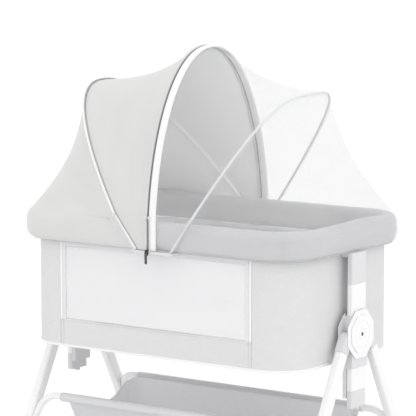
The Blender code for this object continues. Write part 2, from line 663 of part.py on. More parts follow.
def make_stand():
    for end, way in ENDS.items():
        pivot = FRONT_LEGS if way < 0 else REAR_LEGS
        tilt = empty(f"{end}_leg_plane", (0, 0, 0), (LEG_SPLAY * way, 0, 0), pivot)
        for name, sign in SIDES.items():
            x = LEG_MIDDLE_X * sign
            foot_top = -LEG_LENGTH + FOOT_HEIGHT
            leg = box_section(LEG_DEPTH, LEG_WIDTH, LEG_CORNER, LEG_WALL, foot_top - FOOT_POCKET,
                              -SOCKET_LENGTH - GAP, "leg")
            add(f"{end}_leg_{name}", leg, "white_paint", tilt, (x, 0, 0))

            body = standing(slab([socket_outline(way)], LEG_DEPTH, "socket"))
            socket = add(f"{end}_socket_{name}", body, "grey_plastic", tilt, (x, 0, 0))
            round_edges(socket, SOCKET_BEVEL)
            inset = LEG_WALL + GAP
            inner = rounded_outline(LEG_DEPTH / 2 - inset, LEG_WIDTH / 2 - inset, LEG_CORNER - inset, 4)
            plug = slab([inner], PLUG_LENGTH + PLUG_OVERLAP, "plug")
            place = (x, 0, -SOCKET_LENGTH - (PLUG_LENGTH - PLUG_OVERLAP) / 2)
            combine(socket, cutter(plug, tilt, place), "UNION")
            bore = rod(PIN_R + SLIDE_GAP, 2 * LEG_DEPTH, "pin_hole", 32)
            combine(socket, cutter(bore, tilt, (x, 0, 0), (0, pi / 2, 0)))
            make_foot(f"{end}_foot_{name}", tilt, x, way)
        make_stretcher(end, way, tilt)


def socket_outline(way):
    """Side view of a leg's socket: round about its pin, and cut back inside to fold past the sleeve."""
    half, eye = LEG_WIDTH / 2, SOCKET_EYE_R
    arc = [(eye * cos(a), eye * sin(a)) for a in (pi / 8 * k for k in range(9))]
    points = [(half, -SOCKET_LENGTH), (half, -eye), *arc, (-half, -SOCKET_LENGTH)]
    return [(y * way, z) for y, z in points][::way]


def make_foot(name, tilt, x, way):
    """Rubber cap on the leg's end, cut level with the floor."""
    outer = rounded_outline(LEG_DEPTH / 2 + FOOT_WALL, LEG_WIDTH / 2 + FOOT_WALL, LEG_CORNER + FOOT_WALL, 4)
    past = (LEG_WIDTH / 2 + FOOT_WALL) * tan(LEG_SPLAY) + FOOT_POCKET / 2
    height = FOOT_HEIGHT + past
    body = slab([outer], height, name)
    body.transform(Matrix.Translation((0, 0, -LEG_LENGTH + FOOT_HEIGHT - height / 2)))
    foot = add(name, body, "rubber", tilt, (x, 0, 0))
    inner = rounded_outline(LEG_DEPTH / 2 + GAP, LEG_WIDTH / 2 + GAP, LEG_CORNER + GAP, 4)
    pocket = slab([inner], 3 * FOOT_POCKET, "pocket")
    bottom = -LEG_LENGTH + FOOT_HEIGHT - FOOT_POCKET - GAP
    combine(foot, cutter(pocket, tilt, (x, 0, bottom + 1.5 * FOOT_POCKET)))
    reach = 2 * FOOT_HEIGHT
    ground = block((-reach, -reach, -reach), (reach, reach, 0), "ground")
    combine(foot, cutter(ground, None, (x, way * FOOT_Y, 0)))


def stretcher_height():
    """The cross tube's height in the frame of its legs, below their pins."""
    return (STRETCHER_Z - HUB_Z) / cos(LEG_SPLAY)


def stretcher_y():
    """Half the distance between the two cross tubes."""
    return LEG_PIVOT_Y - stretcher_height() * sin(LEG_SPLAY)


def make_stretcher(end, way, tilt):
    """Cross tube between the legs, bent down at both ends to meet their inner faces."""
    reach = LEG_INNER_X - GAP
    lean = atan((reach - STRETCHER_STRAIGHT) / STRETCHER_DROP) / 2
    height = stretcher_height()
    centre = (STRETCHER_STRAIGHT, height - STRETCHER_BEND)
    steps = 8
    turn = pi / 2 - lean
    points = []
    for k in range(steps + 1):
        angle = pi / 2 - turn * k / steps
        points.append((centre[0] + STRETCHER_BEND * cos(angle), centre[1] + STRETCHER_BEND * sin(angle)))
    last = points[-1]
    past = LEG_WALL + STRETCHER_R
    points.append((reach + past, last[1] - (reach + past - last[0]) / tan(lean)))
    path = [(-x, 0, z) for x, z in reversed(points)] + [(x, 0, z) for x, z in points]
    made = add(f"{end}_stretcher", bar(path, STRETCHER_R, caps=False), "white_paint", tilt)
    thicken(made, STRETCHER_WALL)
    side = 3 * STRETCHER_R
    for sign in SIDES.values():
        low, high = sorted((sign * reach, sign * (reach + 2 * past)))
        combine(made, cutter(block((low, -side, -LEG_LENGTH), (high, side, 0), "end_trim"), tilt))


# Basket -------------------------------------------------------------------------------------------


def basket_ring(half_x, half_y, corner, height):
    """One level of the basket, with extra points across its ends and a height that depends on the place."""
    outline = rounded_outline(half_x, half_y, corner, 5)
    half = len(outline) // 2
    straight = half_y - corner
    across = [straight * share for share in (0.6, 0.2, -0.2, -0.6)]
    outline = outline[:half] + [(-half_x, y) for y in across] + outline[half:] + [(half_x, -y) for y in across]
    return [(x, y, height(y)) for x, y in outline]


def make_basket():
    """Open sling between the cross tubes, with end walls lower than its long walls."""
    half_x, half_y = BASKET_LENGTH / 2, stretcher_y() - STRETCHER_R - BASKET_CLEAR
    floor_x, floor_y = half_x * BASKET_FLOOR[0], half_y * BASKET_FLOOR[1]
    top = STRETCHER_Z + BASKET_ABOVE
    bottom = top - BASKET_DEPTH
    rings = []
    for k in range(5):
        angle = pi / 8 * k
        inset, rise = BASKET_FILLET * (1 - sin(angle)), BASKET_FILLET * (1 - cos(angle))
        inner = (floor_x - inset, floor_y - inset, BASKET_CORNER - inset)
        rings.append(basket_ring(*inner, lambda y: bottom + rise))
    start = bottom + BASKET_FILLET
    for k in range(1, 5):
        share = k / 4
        wide_x, wide_y = floor_x + (half_x - floor_x) * share, floor_y + (half_y - floor_y) * share

        def height(y):
            inside = min(1.0, (wide_y - abs(y)) / BASKET_DIP_REACH)
            dip = BASKET_END_DIP * inside * inside * (3 - 2 * inside)
            return start + (top - dip - start) * share

        rings.append(basket_ring(wide_x, wide_y, BASKET_CORNER, height))
    basket = add("basket", loft(rings, "basket", True, floor=True), "basket_fabric", HUBS)
    thicken(basket, BASKET_WALL)


# Canopy -------------------------------------------------------------------------------------------


def hoop_frame(hoop):
    """Middle of the hoop's feet, its half span and its direction of rise, in the plane it stands in."""
    middle = Vector(((hoop["front"] + hoop["back"]) / 2, 0, RIM_BOTTOM_Z))
    half = Vector(((hoop["back"] - hoop["front"]) / 2, HOOP_Y, 0))
    lean = radians(hoop["lean"])
    return middle, half, Vector((sin(lean), 0, cos(lean)))


def pivot_share(hoop):
    """How far up the hoop its hinge is, as a length along its rise."""
    return (PIVOT_Z - RIM_BOTTOM_Z) / hoop_frame(hoop)[2].z


def arch(hoop, t, inset=0.0):
    """A point of the hoop's arch, from its front hinge at t = 0 to its back hinge at t = 1."""
    middle, half, rise = hoop_frame(hoop)
    low = pivot_share(hoop)
    start = asin(min(1.0, (low / hoop["rise"]) ** (hoop["up"] / 2)))
    angle = start + (pi - 2 * start) * t
    across = -abs(cos(angle)) ** (2 / hoop["across"]) * (1 if cos(angle) > 0 else -1)
    widest = abs(cos(start)) ** (2 / hoop["across"])
    height = hoop["rise"] * sin(angle) ** (2 / hoop["up"])
    return middle + half * (across / widest) * (1 - inset) + rise * height * (1 - inset / 2)


def hinge_of(hoop):
    """Front and back ends of the line that the hoop turns about."""
    middle, half, rise = hoop_frame(hoop)
    low = pivot_share(hoop)
    return middle - half + rise * low, middle + half + rise * low


def make_hoops():
    """Four wire hoops, each ending in an eye on its hinge line."""
    for name, hoop, place in (
        ("left_hoop", LEFT_HOOP, LEFT_FOLD), ("shade_hoop", SHADE_HOOP, SHADE_FOLD),
        ("net_hoop", NET_HOOP, NET_FOLD), ("right_hoop", RIGHT_HOOP, RIGHT_FOLD),
    ):
        near, far = hinge_of(hoop)
        origin = place.matrix_world.translation
        points = [arch(hoop, k / HOOP_STEPS) - origin for k in range(HOOP_STEPS + 1)]
        wire = add(name, bar([tuple(p) for p in points], HOOP_R, resolution=1), "hoop_wire", place)
        turn = (far - near).to_track_quat("Z", "Y").to_euler()
        for end in (near, far):
            eye = rod(HOOP_EYE_R, 2 * HOOP_R, "hoop_eye")
            combine(wire, cutter(eye, None, end, turn), "UNION")


def make_hoop_brackets():
    """Bracket on each long side: a bar hooked under the rim to the top frame, with a prong for each hoop."""
    hoops = (LEFT_HOOP, SHADE_HOOP, NET_HOOP, RIGHT_HOOP)
    for name, sign in (("front", -1), ("back", 1)):
        ends = [hinge_of(hoop)[0 if sign < 0 else 1] for hoop in hoops]
        feet = [hoop["front" if sign < 0 else "back"] for hoop in hoops]
        low_x, high_x = min(feet) - BRACKET_MARGIN, max(feet) + BRACKET_MARGIN
        top = RIM_BOTTOM_Z - 2 * GAP
        inner = HALF_BODY[1] + HOOP_R
        y = sorted((sign * BRACKET_Y, sign * inner))
        strip = add(f"hoop_bracket_{name}", block((low_x, y[0], top - BRACKET_THICKNESS), (high_x, y[1], top)),
                    "grey_plastic", BED)
        tube_y = HALF_RIM[1] - TOP_TUBE_INSET
        y = sorted((sign * (tube_y + TOP_TUBE_R - 3 * GAP), sign * inner))
        margin = BRACKET_MARGIN / 2
        lug = block((low_x + margin, y[0], top - HOOP_R), (high_x - margin, y[1], TOP_TUBE_Z - margin), "lug")
        combine(strip, cutter(lug), "UNION")
        saddle = rod(TOP_TUBE_R + GAP, RIM_LENGTH / 2, "saddle", 32)
        combine(strip, cutter(saddle, None, (0, sign * tube_y, TOP_TUBE_Z), (0, pi / 2, 0)))
        for hoop, foot, end in zip(hoops, feet, ends):
            near, far = hinge_of(hoop)
            along = (far - near).normalized() * (1 if sign < 0 else -1)
            eye_at = end - along * (HOOP_R + HOOP_EYE_LENGTH / 2 + SLIDE_GAP)
            base = Vector((foot, eye_at.y, top - BRACKET_THICKNESS / 2))
            prong = bar([tuple(base), tuple(eye_at)], PRONG_R, "prong")
            combine(strip, cutter(prong), "UNION")
            eye = rod(HOOP_EYE_R, HOOP_EYE_LENGTH, "prong_eye")
            combine(strip, cutter(eye, None, eye_at, along.to_track_quat("Z", "Y").to_euler()), "UNION")


def rim_edge(t, side):
    """A point just above the rim's crest, from the front middle at t = 0 round one end to the back at t = 1."""
    half_x, half_y = HALF_RIM[0] - CANOPY_INSET, HALF_RIM[1] - CANOPY_INSET
    radius = RIM_CORNER - CANOPY_INSET
    start = CANOPY_OPEN
    straight = half_x - radius - start
    end = 2 * (half_y - radius)
    corner = pi / 2 * radius
    total = 2 * straight + 2 * corner + end
    s = t * total
    height = RIM_TOP_Z + CANOPY_LIFT
    if s < straight:
        x, y = start + s, -half_y
    elif s < straight + corner:
        a = (s - straight) / radius
        x, y = start + straight + radius * sin(a), -half_y + radius - radius * cos(a)
    elif s < straight + corner + end:
        x, y = half_x, -half_y + radius + (s - straight - corner)
    elif s < straight + 2 * corner + end:
        a = (s - straight - corner - end) / radius
        x, y = start + straight + radius * cos(a), half_y - radius + radius * sin(a)
    else:
        x, y = half_x - radius - (s - straight - 2 * corner - end), half_y
    return Vector((side * x, y, height))


def make_canopy():
    """Four skins: shade from the left rim over two hoops, net from the right rim over two."""
    count, rows = 20, 5
    parts = (
        ("shade_side", "shade_fabric", lambda t: rim_edge(t, -1), lambda t: arch(LEFT_HOOP, t)),
        ("shade_top", "shade_fabric", lambda t: arch(LEFT_HOOP, t), lambda t: arch(SHADE_HOOP, t)),
        ("net_top", "net_fabric", lambda t: arch(NET_HOOP, t), lambda t: arch(RIGHT_HOOP, t)),
        ("net_side", "net_fabric", lambda t: arch(RIGHT_HOOP, t), lambda t: rim_edge(t, 1)),
    )
    for name, finish, first, second in parts:
        columns = []
        for k in range(count + 1):
            t = CANOPY_START + (1 - 2 * CANOPY_START) * k / count
            a, b = first(t), second(t)
            margin = CANOPY_CLEAR / (b - a).length
            column = []
            for j in range(rows + 1):
                share = margin + (1 - 2 * margin) * j / rows
                point = a.lerp(b, share)
                sag = CANOPY_SAG * (b - a).length * share * (1 - share) * sin(pi * t)
                point -= Vector((point.x, point.y, point.z - RIM_TOP_Z)).normalized() * sag
                column.append(tuple(point))
            columns.append(column)
        skin = add(name, loft(columns, name), finish, BED)
        thicken(skin, CANOPY_SKIN, 0.0)


def make_zip():
    """Slider at the foot of the canopy's zip, with a bail that its pull hangs from."""
    face = -(BRACKET_Y + GAP + SLIDER_DEPTH)
    axis_y = face - PULL_STAND_OFF
    low = (ZIP_X - SLIDER_WIDTH / 2, face, RIM_BOTTOM_Z - SLIDER_DROP)
    high = (ZIP_X + SLIDER_WIDTH / 2, face + SLIDER_DEPTH, RIM_BOTTOM_Z + SLIDER_RISE)
    slider = add("zip_slider", block(low, high), "dark_metal", BED)
    round_edges(slider, SLIDER_DEPTH / 4, 1)
    angles = [pi / 9 + 16 * pi / 9 * k / 12 for k in range(13)]
    ring = [(ZIP_X, axis_y + BAIL_R * cos(a), RIM_BOTTOM_Z + BAIL_R * sin(a)) for a in angles]
    combine(slider, cutter(bar(ring, BAIL_WIRE_R, "bail", resolution=1)), "UNION")
    eye_z = PULL_HALF[1] - PULL_EYE_MARGIN - PULL_EYE_R
    outlines = [rounded_outline(*PULL_HALF, PULL_HALF[0] * 0.9, 4), circle(PULL_EYE_R, eye_z, 12)]
    pull = slab(outlines, PULL_THICKNESS, "zip_pull")
    drop = PULL_HALF[1] - PULL_EYE_MARGIN / 2
    pull.transform(Matrix.Translation((0, 0, -drop)) @ Matrix.Rotation(pi / 2, 4, "X"))
    add("zip_pull", pull, "dark_metal", PULL_SWING)


HUBS = empty("hubs")
BED = empty("bed")
FRONT_LEGS = empty("front_legs", (0, -LEG_PIVOT_Y, HUB_Z))
REAR_LEGS = empty("rear_legs", (0, LEG_PIVOT_Y, HUB_Z))
LEFT_FOLD = empty("left_fold", sum(hinge_of(LEFT_HOOP), Vector()) / 2)
SHADE_FOLD = empty("shade_fold", sum(hinge_of(SHADE_HOOP), Vector()) / 2)
NET_FOLD = empty("net_fold", sum(hinge_of(NET_HOOP), Vector()) / 2)
RIGHT_FOLD = empty("right_fold", sum(hinge_of(RIGHT_HOOP), Vector()) / 2)
PULL_SWING = empty("pull_swing", (ZIP_X, -(BRACKET_Y + GAP + SLIDER_DEPTH + PULL_STAND_OFF), RIM_BOTTOM_Z))
bpy.context.view_layer.update()

make_frames()
make_floor()
make_walls()
make_rim()
make_posts()
make_release()
make_hubs()
make_stand()
make_basket()
make_hoops()
make_hoop_brackets()
make_canopy()
make_zip()
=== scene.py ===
import json
import math

import bmesh
import bpy
from mathutils import Matrix, Vector, noise

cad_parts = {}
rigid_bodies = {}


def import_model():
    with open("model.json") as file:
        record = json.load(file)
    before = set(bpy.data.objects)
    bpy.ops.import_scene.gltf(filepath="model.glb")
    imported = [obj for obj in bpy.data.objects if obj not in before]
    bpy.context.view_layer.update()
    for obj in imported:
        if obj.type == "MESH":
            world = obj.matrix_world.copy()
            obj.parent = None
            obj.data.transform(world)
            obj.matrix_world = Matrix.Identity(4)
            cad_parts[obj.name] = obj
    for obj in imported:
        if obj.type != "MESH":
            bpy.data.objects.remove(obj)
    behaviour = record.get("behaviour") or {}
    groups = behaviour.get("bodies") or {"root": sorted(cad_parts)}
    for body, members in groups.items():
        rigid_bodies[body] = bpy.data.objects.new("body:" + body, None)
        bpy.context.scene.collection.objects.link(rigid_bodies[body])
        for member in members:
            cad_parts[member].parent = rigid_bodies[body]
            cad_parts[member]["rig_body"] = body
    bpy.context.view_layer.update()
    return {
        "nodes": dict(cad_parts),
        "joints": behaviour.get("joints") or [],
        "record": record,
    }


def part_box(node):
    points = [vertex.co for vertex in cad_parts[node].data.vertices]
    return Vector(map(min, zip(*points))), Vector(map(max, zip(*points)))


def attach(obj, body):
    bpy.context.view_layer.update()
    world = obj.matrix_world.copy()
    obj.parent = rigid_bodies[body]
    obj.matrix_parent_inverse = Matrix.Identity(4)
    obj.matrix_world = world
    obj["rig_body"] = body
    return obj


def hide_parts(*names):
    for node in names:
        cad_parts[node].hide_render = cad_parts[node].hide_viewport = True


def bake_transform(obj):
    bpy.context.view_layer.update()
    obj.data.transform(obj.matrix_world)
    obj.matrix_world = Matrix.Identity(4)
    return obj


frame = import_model()


# Camera, floor and light
shot = {
    "eye": (3.944, -5.678, 1.702),
    "aim": (-0.0141, 0.0047, 0.7782),
    "lens": 217.66,
    "sensor": 36.0,
    "floorSize": 60.0,
    "worldStrength": 1.08,
    "sunStrength": 0.28,
    "sunFrom": (3.0, -1.6, 3.2),
    "sunSoftness": math.radians(50),
}


def setCamera():
    data = bpy.data.cameras.new("camera")
    data.lens, data.sensor_width = shot["lens"], shot["sensor"]
    data.clip_end = 200
    camera = bpy.data.objects.new("camera", data)
    bpy.context.scene.collection.objects.link(camera)
    camera.location = shot["eye"]
    camera.rotation_euler = (Vector(shot["aim"]) - Vector(shot["eye"])).to_track_quat("-Z", "Y").to_euler()
    bpy.context.scene.camera = camera


def setLight():
    world = bpy.data.worlds.new("studio")
    world.use_nodes = True
    sky = world.node_tree.nodes["Background"]
    sky.inputs["Color"].default_value = (1, 1, 1, 1)
    sky.inputs["Strength"].default_value = shot["worldStrength"]
    bpy.context.scene.world = world
    data = bpy.data.lights.new("softbox", "SUN")
    data.energy, data.angle = shot["sunStrength"], shot["sunSoftness"]
    sun = bpy.data.objects.new("softbox", data)
    sun.rotation_euler = (-Vector(shot["sunFrom"])).to_track_quat("-Z", "Y").to_euler()
    bpy.context.scene.collection.objects.link(sun)
    bpy.context.scene.view_settings.view_transform = "Standard"


# Finishes


# A socket's value, which arithmetic adds Math nodes to
class Wire:
    def __init__(self, finish, socket):
        self.finish, self.socket = finish, socket

    def math(self, operation, *values):
        return self.finish.node("ShaderNodeMath", {"operation": operation}, dict(enumerate(values)))

    # A material with its Principled shader, and short ways to add nodes to it
    def __add__(self, other):
        return self.math("ADD", self, other)

    def __sub__(self, other):
        return self.math("SUBTRACT", self, other)

    def __mul__(self, other):
        return self.math("MULTIPLY", self, other)



    def __gt__(self, other):
        return self.math("GREATER_THAN", self, other)

    def __rsub__(self, other):
        return self.math("SUBTRACT", other, self)

    def __abs__(self):
        return self.math("ABSOLUTE", self)

    __radd__, __rmul__ = __add__, __mul__

    def sine(self):
        return self.math("SINE", self)

    def larger(self, other):
        return self.math("MAXIMUM", self, other)



class Finish:
    def __init__(self, name, colour, roughness, **constants):
        self.material = bpy.data.materials.new(name)
        self.material.use_nodes = True
        self.tree = self.material.node_tree
        self.shader = self.tree.nodes["Principled BSDF"]
        self.colour = colour
        self.shader.inputs["Base Color"].default_value = (*colour, 1)
        self.shader.inputs["Roughness"].default_value = roughness
        for socket, value in constants.items():
            self.shader.inputs[socket.replace("_", " ")].default_value = value

    def node(self, kind, settings=None, sockets=None, output=0):
        made = self.tree.nodes.new(kind)
        for key, value in (settings or {}).items():
            setattr(made, key, value)
        for key, value in (sockets or {}).items():
            if isinstance(value, Wire):
                self.tree.links.new(value.socket, made.inputs[key])
            else:
                made.inputs[key].default_value = value
        return Wire(self, made.outputs[output])

    def place(self, output="Object"):
        return self.node("ShaderNodeTexCoord", output=output)

    def split(self, vector):
        made = self.node("ShaderNodeSeparateXYZ", sockets={"Vector": vector})
        return [Wire(self, made.socket.node.outputs[k]) for k in range(3)]

    def stretched(self, vector, scale):
        return self.node("ShaderNodeMapping", {"vector_type": "TEXTURE"},
                         {"Vector": vector, "Scale": tuple(1 / s for s in scale)})

    def grain(self, vector, scale, detail=3.0):
        return self.node("ShaderNodeTexNoise", sockets={"Vector": vector, "Scale": scale, "Detail": detail})

    def feed(self, socket, wire):
        self.tree.links.new(wire.socket, self.shader.inputs[socket])

    # Base colour between the finish's own colour and another, by a share that varies
    def tint(self, share, other):
        mixed = self.node("ShaderNodeMix", {"data_type": "RGBA", "clamp_factor": True}, {0: share}, 2)
        mixed.socket.node.inputs[6].default_value = (*self.colour, 1)
        mixed.socket.node.inputs[7].default_value = (*other, 1)
        self.feed("Base Color", mixed)

    def relief(self, height, depth, strength=1.0):
        self.feed("Normal", self.node("ShaderNodeBump", sockets={
            "Strength": strength, "Distance": depth, "Height": height}))


# Plain weave over a piece's UV map, which is in metres: the crossing waves of warp and weft
def threads(finish, pitch):
    u, v, _ = finish.split(finish.place("UV"))
    turn = 2 * math.pi / pitch
    return (u * turn).sine() * (v * turn).sine() * 0.5 + 0.5


# Melange cloth: slubs of darker yarn along both threads over a plain weave
def heather(name, colour, fleck, pitch=0.0012):
    made = Finish(name, colour, 0.88, Specular_IOR_Level=0.25)
    uv = made.place("UV")
    warp = made.grain(made.stretched(uv, (1400, 160, 1)), 1.0)
    weft = made.grain(made.stretched(uv, (160, 1400, 1)), 1.0)
    slub = (warp + weft) * 0.5
    patch = made.grain(made.stretched(uv, (38, 38, 1)), 1.0, 2.0)
    made.tint((slub - 0.38) * 2.6 * 0.75 + (patch - 0.5) * 0.25, fleck)
    made.relief(threads(made, pitch) * 0.6 + slub * 0.4, 0.0005, 0.55)
    return made.material


# Fine smooth cloth with painted shade of its folds: broad soft changes of tone in its base colour
def satin(name, colour, shade):
    made = Finish(name, colour, 0.52, Specular_IOR_Level=0.35, Sheen_Weight=0.25, Sheen_Roughness=0.4)
    uv = made.place("UV")
    broad = made.grain(made.stretched(uv, (5, 9, 1)), 1.0, 2.0)
    fine = made.grain(made.stretched(uv, (900, 260, 1)), 1.0, 2.0)
    # painted fold shade: broad noise darkens the base colour towards the shade colour
    made.tint(broad * 0.9 + (fine - 0.5) * 0.35, shade)
    made.relief(threads(made, 0.0007) * 0.25 + fine * 0.3, 0.0003, 0.35)
    return made.material


# Soft padded cloth: short nap with faint mottling
def brushed(name, colour, shade, pitch=0.0016):
    made = Finish(name, colour, 0.92, Specular_IOR_Level=0.2, Sheen_Weight=0.3, Sheen_Roughness=0.5)
    where = made.place()
    mottle = made.grain(where, 22.0, 3.0)
    nap = made.grain(where, 900.0, 2.0)
    x, y, z = made.split(where)
    turn = 2 * math.pi / pitch
    a, b, c = ((axis * turn).sine() for axis in (x, y, z))
    knit = a * c + b * c + a * b
    made.tint(mottle * 0.8 + (nap - 0.5) * 0.5, shade)
    made.relief(nap * 0.5 + knit * 0.2, 0.0005, 0.45)
    return made.material


# Open net: square cells with threads of a set width, and a faint even haze between them
def net(name, colour, pitch, thread, least):
    made = Finish(name, colour, 0.75, Specular_IOR_Level=0.2)
    u, v, _ = made.split(made.place("UV"))
    turn = math.pi / pitch
    edge = math.cos(math.pi / 2 * thread / pitch * 2)
    warp, weft = abs((u * turn).sine()), abs((v * turn).sine())
    line = warp.larger(weft) > edge
    drift = made.grain(made.stretched(made.place("UV"), (14, 14, 1)), 1.0, 2.0)
    made.feed("Alpha", line * (1 - least) * 0.9 + least + (drift - 0.5) * 0.04)
    made.relief(warp.larger(weft), 0.0002, 0.3)
    return made.material


# Powder coat: faint orange peel and a little change of gloss
def paint(name, colour):
    made = Finish(name, colour, 0.32, Coat_Weight=0.15)
    where = made.place()
    peel = made.grain(where, 1400.0, 2.0)
    rub = made.grain(where, 9.0, 4.0)
    made.feed("Roughness", rub * 0.14 + 0.26)
    made.tint((rub - 0.5) * 0.5, tuple(c * 0.96 for c in colour))
    made.relief(peel, 0.0001, 0.12)
    return made.material


# Moulded plastic with a fine spark-eroded grain
def moulded(name, colour, roughness, grit=0.25):
    made = Finish(name, colour, roughness)
    where = made.place()
    spark = made.grain(where, 2200.0, 2.0)
    flow = made.grain(where, 14.0, 3.0)
    made.tint(flow * 0.6, tuple(c * 0.94 for c in colour))
    made.feed("Roughness", spark * 0.12 + flow * 0.08 + (roughness - 0.08))
    made.relief(spark, 0.00012, grit)
    return made.material


def metal(name, colour, roughness):
    made = Finish(name, colour, roughness, Metallic=1.0)
    where = made.place()
    scratch = made.grain(made.stretched(where, (60, 900, 900)), 1.0, 3.0)
    made.feed("Roughness", scratch * 0.25 + (roughness - 0.1))
    made.tint(scratch * 0.5, tuple(c * 0.8 for c in colour))
    made.relief(scratch, 0.0001, 0.15)
    return made.material


def fibreboard(name):
    made = Finish(name, (0.50, 0.38, 0.25), 0.8)
    where = made.place()
    fibre = made.grain(made.stretched(where, (260, 60, 300)), 1.0, 4.0)
    made.tint(fibre, (0.32, 0.22, 0.13))
    made.relief(fibre, 0.0003, 0.3)
    return made.material


finishes = {
    "heather_fabric": heather("heatherCloth", (0.76, 0.76, 0.765), (0.60, 0.60, 0.61)),
    "rim_fabric": brushed("rimCloth", (0.54, 0.54, 0.55), (0.49, 0.49, 0.50)),
    "floor_fabric": heather("floorCloth", (0.86, 0.86, 0.87), (0.76, 0.76, 0.77)),
    "mesh_fabric": net("windowNet", (0.94, 0.94, 0.95), 0.0018, 0.00035, 0.40),
    "shade_fabric": satin("shadeCloth", (0.70, 0.695, 0.69), (0.62, 0.615, 0.615)),
    "net_fabric": net("sheerNet", (0.95, 0.95, 0.96), 0.0016, 0.00006, 0.035),
    "basket_fabric": heather("basketCloth", (0.74, 0.74, 0.75), (0.62, 0.62, 0.63)),
    "mattress_fabric": brushed("mattressCloth", (0.92, 0.92, 0.93), (0.86, 0.86, 0.88)),
    "white_paint": paint("whitePaint", (0.88, 0.88, 0.88)),
    "white_plastic": moulded("whitePlastic", (0.90, 0.90, 0.90), 0.35, 0.1),
    "grey_plastic": moulded("greyPlastic", (0.72, 0.72, 0.73), 0.5),
    "board": fibreboard("fibreboard"),
    "steel": metal("zincSteel", (0.60, 0.60, 0.62), 0.35),
    "hoop_wire": metal("hoopWire", (0.75, 0.75, 0.76), 0.35),
    "dark_metal": metal("darkNickel", (0.12, 0.12, 0.13), 0.35),
    "rubber": moulded("footRubber", (0.12, 0.12, 0.125), 0.85, 0.5),
}
trims = {
    "netInside": finishes["net_fabric"],
    # Inner face of the basket cloth, lighter than its outer face: painted light inside the sling
    "basketInside": heather("basketInside", (0.93, 0.93, 0.935), (0.84, 0.84, 0.85)),
    "lining": brushed("liningCloth", (0.92, 0.92, 0.93), (0.87, 0.87, 0.88)),
    "sleeveGrey": brushed("sleeveCloth", (0.78, 0.78, 0.79), (0.70, 0.70, 0.71)),
    "whiteTape": heather("whiteTape", (0.92, 0.92, 0.92), (0.84, 0.84, 0.85), 0.0009),
    "greyTape": heather("greyTape", (0.80, 0.80, 0.81), (0.70, 0.70, 0.71), 0.0009),
    "hemTape": heather("hemTape", (0.55, 0.55, 0.56), (0.48, 0.48, 0.49), 0.0009),
    "darkCoil": moulded("darkCoil", (0.20, 0.20, 0.21), 0.45),
    # Dark grey line beside the left hoop's sleeve: painted shadow of the sleeve
    "greyPiping": moulded("greyPiping", (0.42, 0.42, 0.43), 0.5),
    # Inner face of the shade cloth, lighter than its outer face: painted light that comes through the cloth
    "shadeInside": satin("shadeInside", (0.94, 0.94, 0.935), (0.90, 0.90, 0.895)),
}


# Making pieces
def smooth(x):
    x = min(1.0, max(0.0, x))
    return x * x * (3 - 2 * x)


# The same line with its points evenly spaced
def even(points, count):
    reached = [0.0]
    for a, b in zip(points, points[1:]):
        reached.append(reached[-1] + (b - a).length)
    made, k = [], 0
    for i in range(count + 1):
        want = reached[-1] * i / count
        while k < len(points) - 2 and reached[k + 1] < want:
            k += 1
        share = (want - reached[k]) / max(reached[k + 1] - reached[k], 1e-9)
        made.append(points[k].lerp(points[k + 1], min(1.0, share)))
    return made


def along(points, share):
    place = min(1.0, max(0.0, share)) * (len(points) - 1)
    k = min(int(place), len(points) - 2)
    return points[k].lerp(points[k + 1], place - k)


def length(points):
    return sum((b - a).length for a, b in zip(points, points[1:]))


# An object from a bmesh, smooth shaded, with a wall thickness if it has one
def finished(name, bm, materials, sharp=180.0, thickness=0.0, side=-1.0):
    mesh = bpy.data.meshes.new(name)
    bm.to_mesh(mesh)
    bm.free()
    mesh.shade_smooth()
    if sharp < 180:
        mesh.set_sharp_from_angle(angle=math.radians(sharp))
    made = bpy.data.objects.new(name, mesh)
    bpy.context.scene.collection.objects.link(made)
    for material in materials:
        mesh.materials.append(material)
    if thickness:
        wall = made.modifiers.new("wall", "SOLIDIFY")
        wall.thickness, wall.offset = thickness, side
        wall.material_offset = 1 if len(materials) > 1 else 0
    return made


# A grid carried onto a shape of two shares, with its UV map in metres of the cut cloth
def sheetOf(shape, columns, rows, cut, shares=None):
    bm = bmesh.new()
    uv = bm.loops.layers.uv.new("UVMap")
    bmesh.ops.create_grid(bm, x_segments=columns, y_segments=rows, size=1)
    places = [((v.co.x + 1) / 2, (v.co.y + 1) / 2) for v in bm.verts]
    for face in bm.faces:
        for loop in face.loops:
            a, b = places[loop.vert.index]
            loop[uv].uv = (a * cut[0], b * cut[1])
    for v, (a, b) in zip(bm.verts, places):
        v.co = shape(a, b)
    if shares is not None:
        shares.extend(places)
    return bm


# Area of cloth pulled straight between two lines that have as many points each
def ruledArea(a, b):
    total = 0.0
    for p, q, r, t in zip(a, a[1:], b[1:], b):
        total += ((q - p).cross(r - p).length + (r - p).cross(t - p).length) / 2
    return total


def close(bm, ends=False):
    bmesh.ops.remove_doubles(bm, verts=bm.verts, dist=0.00002)
    if ends:
        bmesh.ops.holes_fill(bm, edges=[e for e in bm.edges if e.is_boundary], sides=0)
    bmesh.ops.recalc_face_normals(bm, faces=bm.faces)
    return bm


# A section of side and up offsets carried along a path, closed round, and capped if the path is open
def swept(path, section, sideAt, ring=False):
    count, corners = len(path) - 1, len(section)
    whole = length(path)

    def shape(a, b):
        k = min(count, round(a * count))
        if ring:
            ahead, behind = path[(k + 1) % count], path[(k - 1) % count]
        else:
            ahead, behind = path[min(k + 1, count)], path[max(k - 1, 0)]
        tangent = (ahead - behind).normalized()
        side = sideAt(path[k], tangent)
        side = (side - tangent * side.dot(tangent)).normalized()
        up = side.cross(tangent)
        offset = section[round(b * corners) % corners]
        return path[k] + side * offset[0] + up * offset[1]

    reach = sum(math.dist(section[i], section[i - 1]) for i in range(corners))
    return close(sheetOf(shape, count, corners, (whole, reach)), ends=not ring)


def oval(halfSide, halfUp, count=12, power=2.0):
    points = []
    for k in range(count):
        a = 2 * math.pi * k / count
        c, s = math.cos(a), math.sin(a)
        points.append((halfSide * math.copysign(abs(c) ** (2 / power), c),
                       halfUp * math.copysign(abs(s) ** (2 / power), s)))
    return points
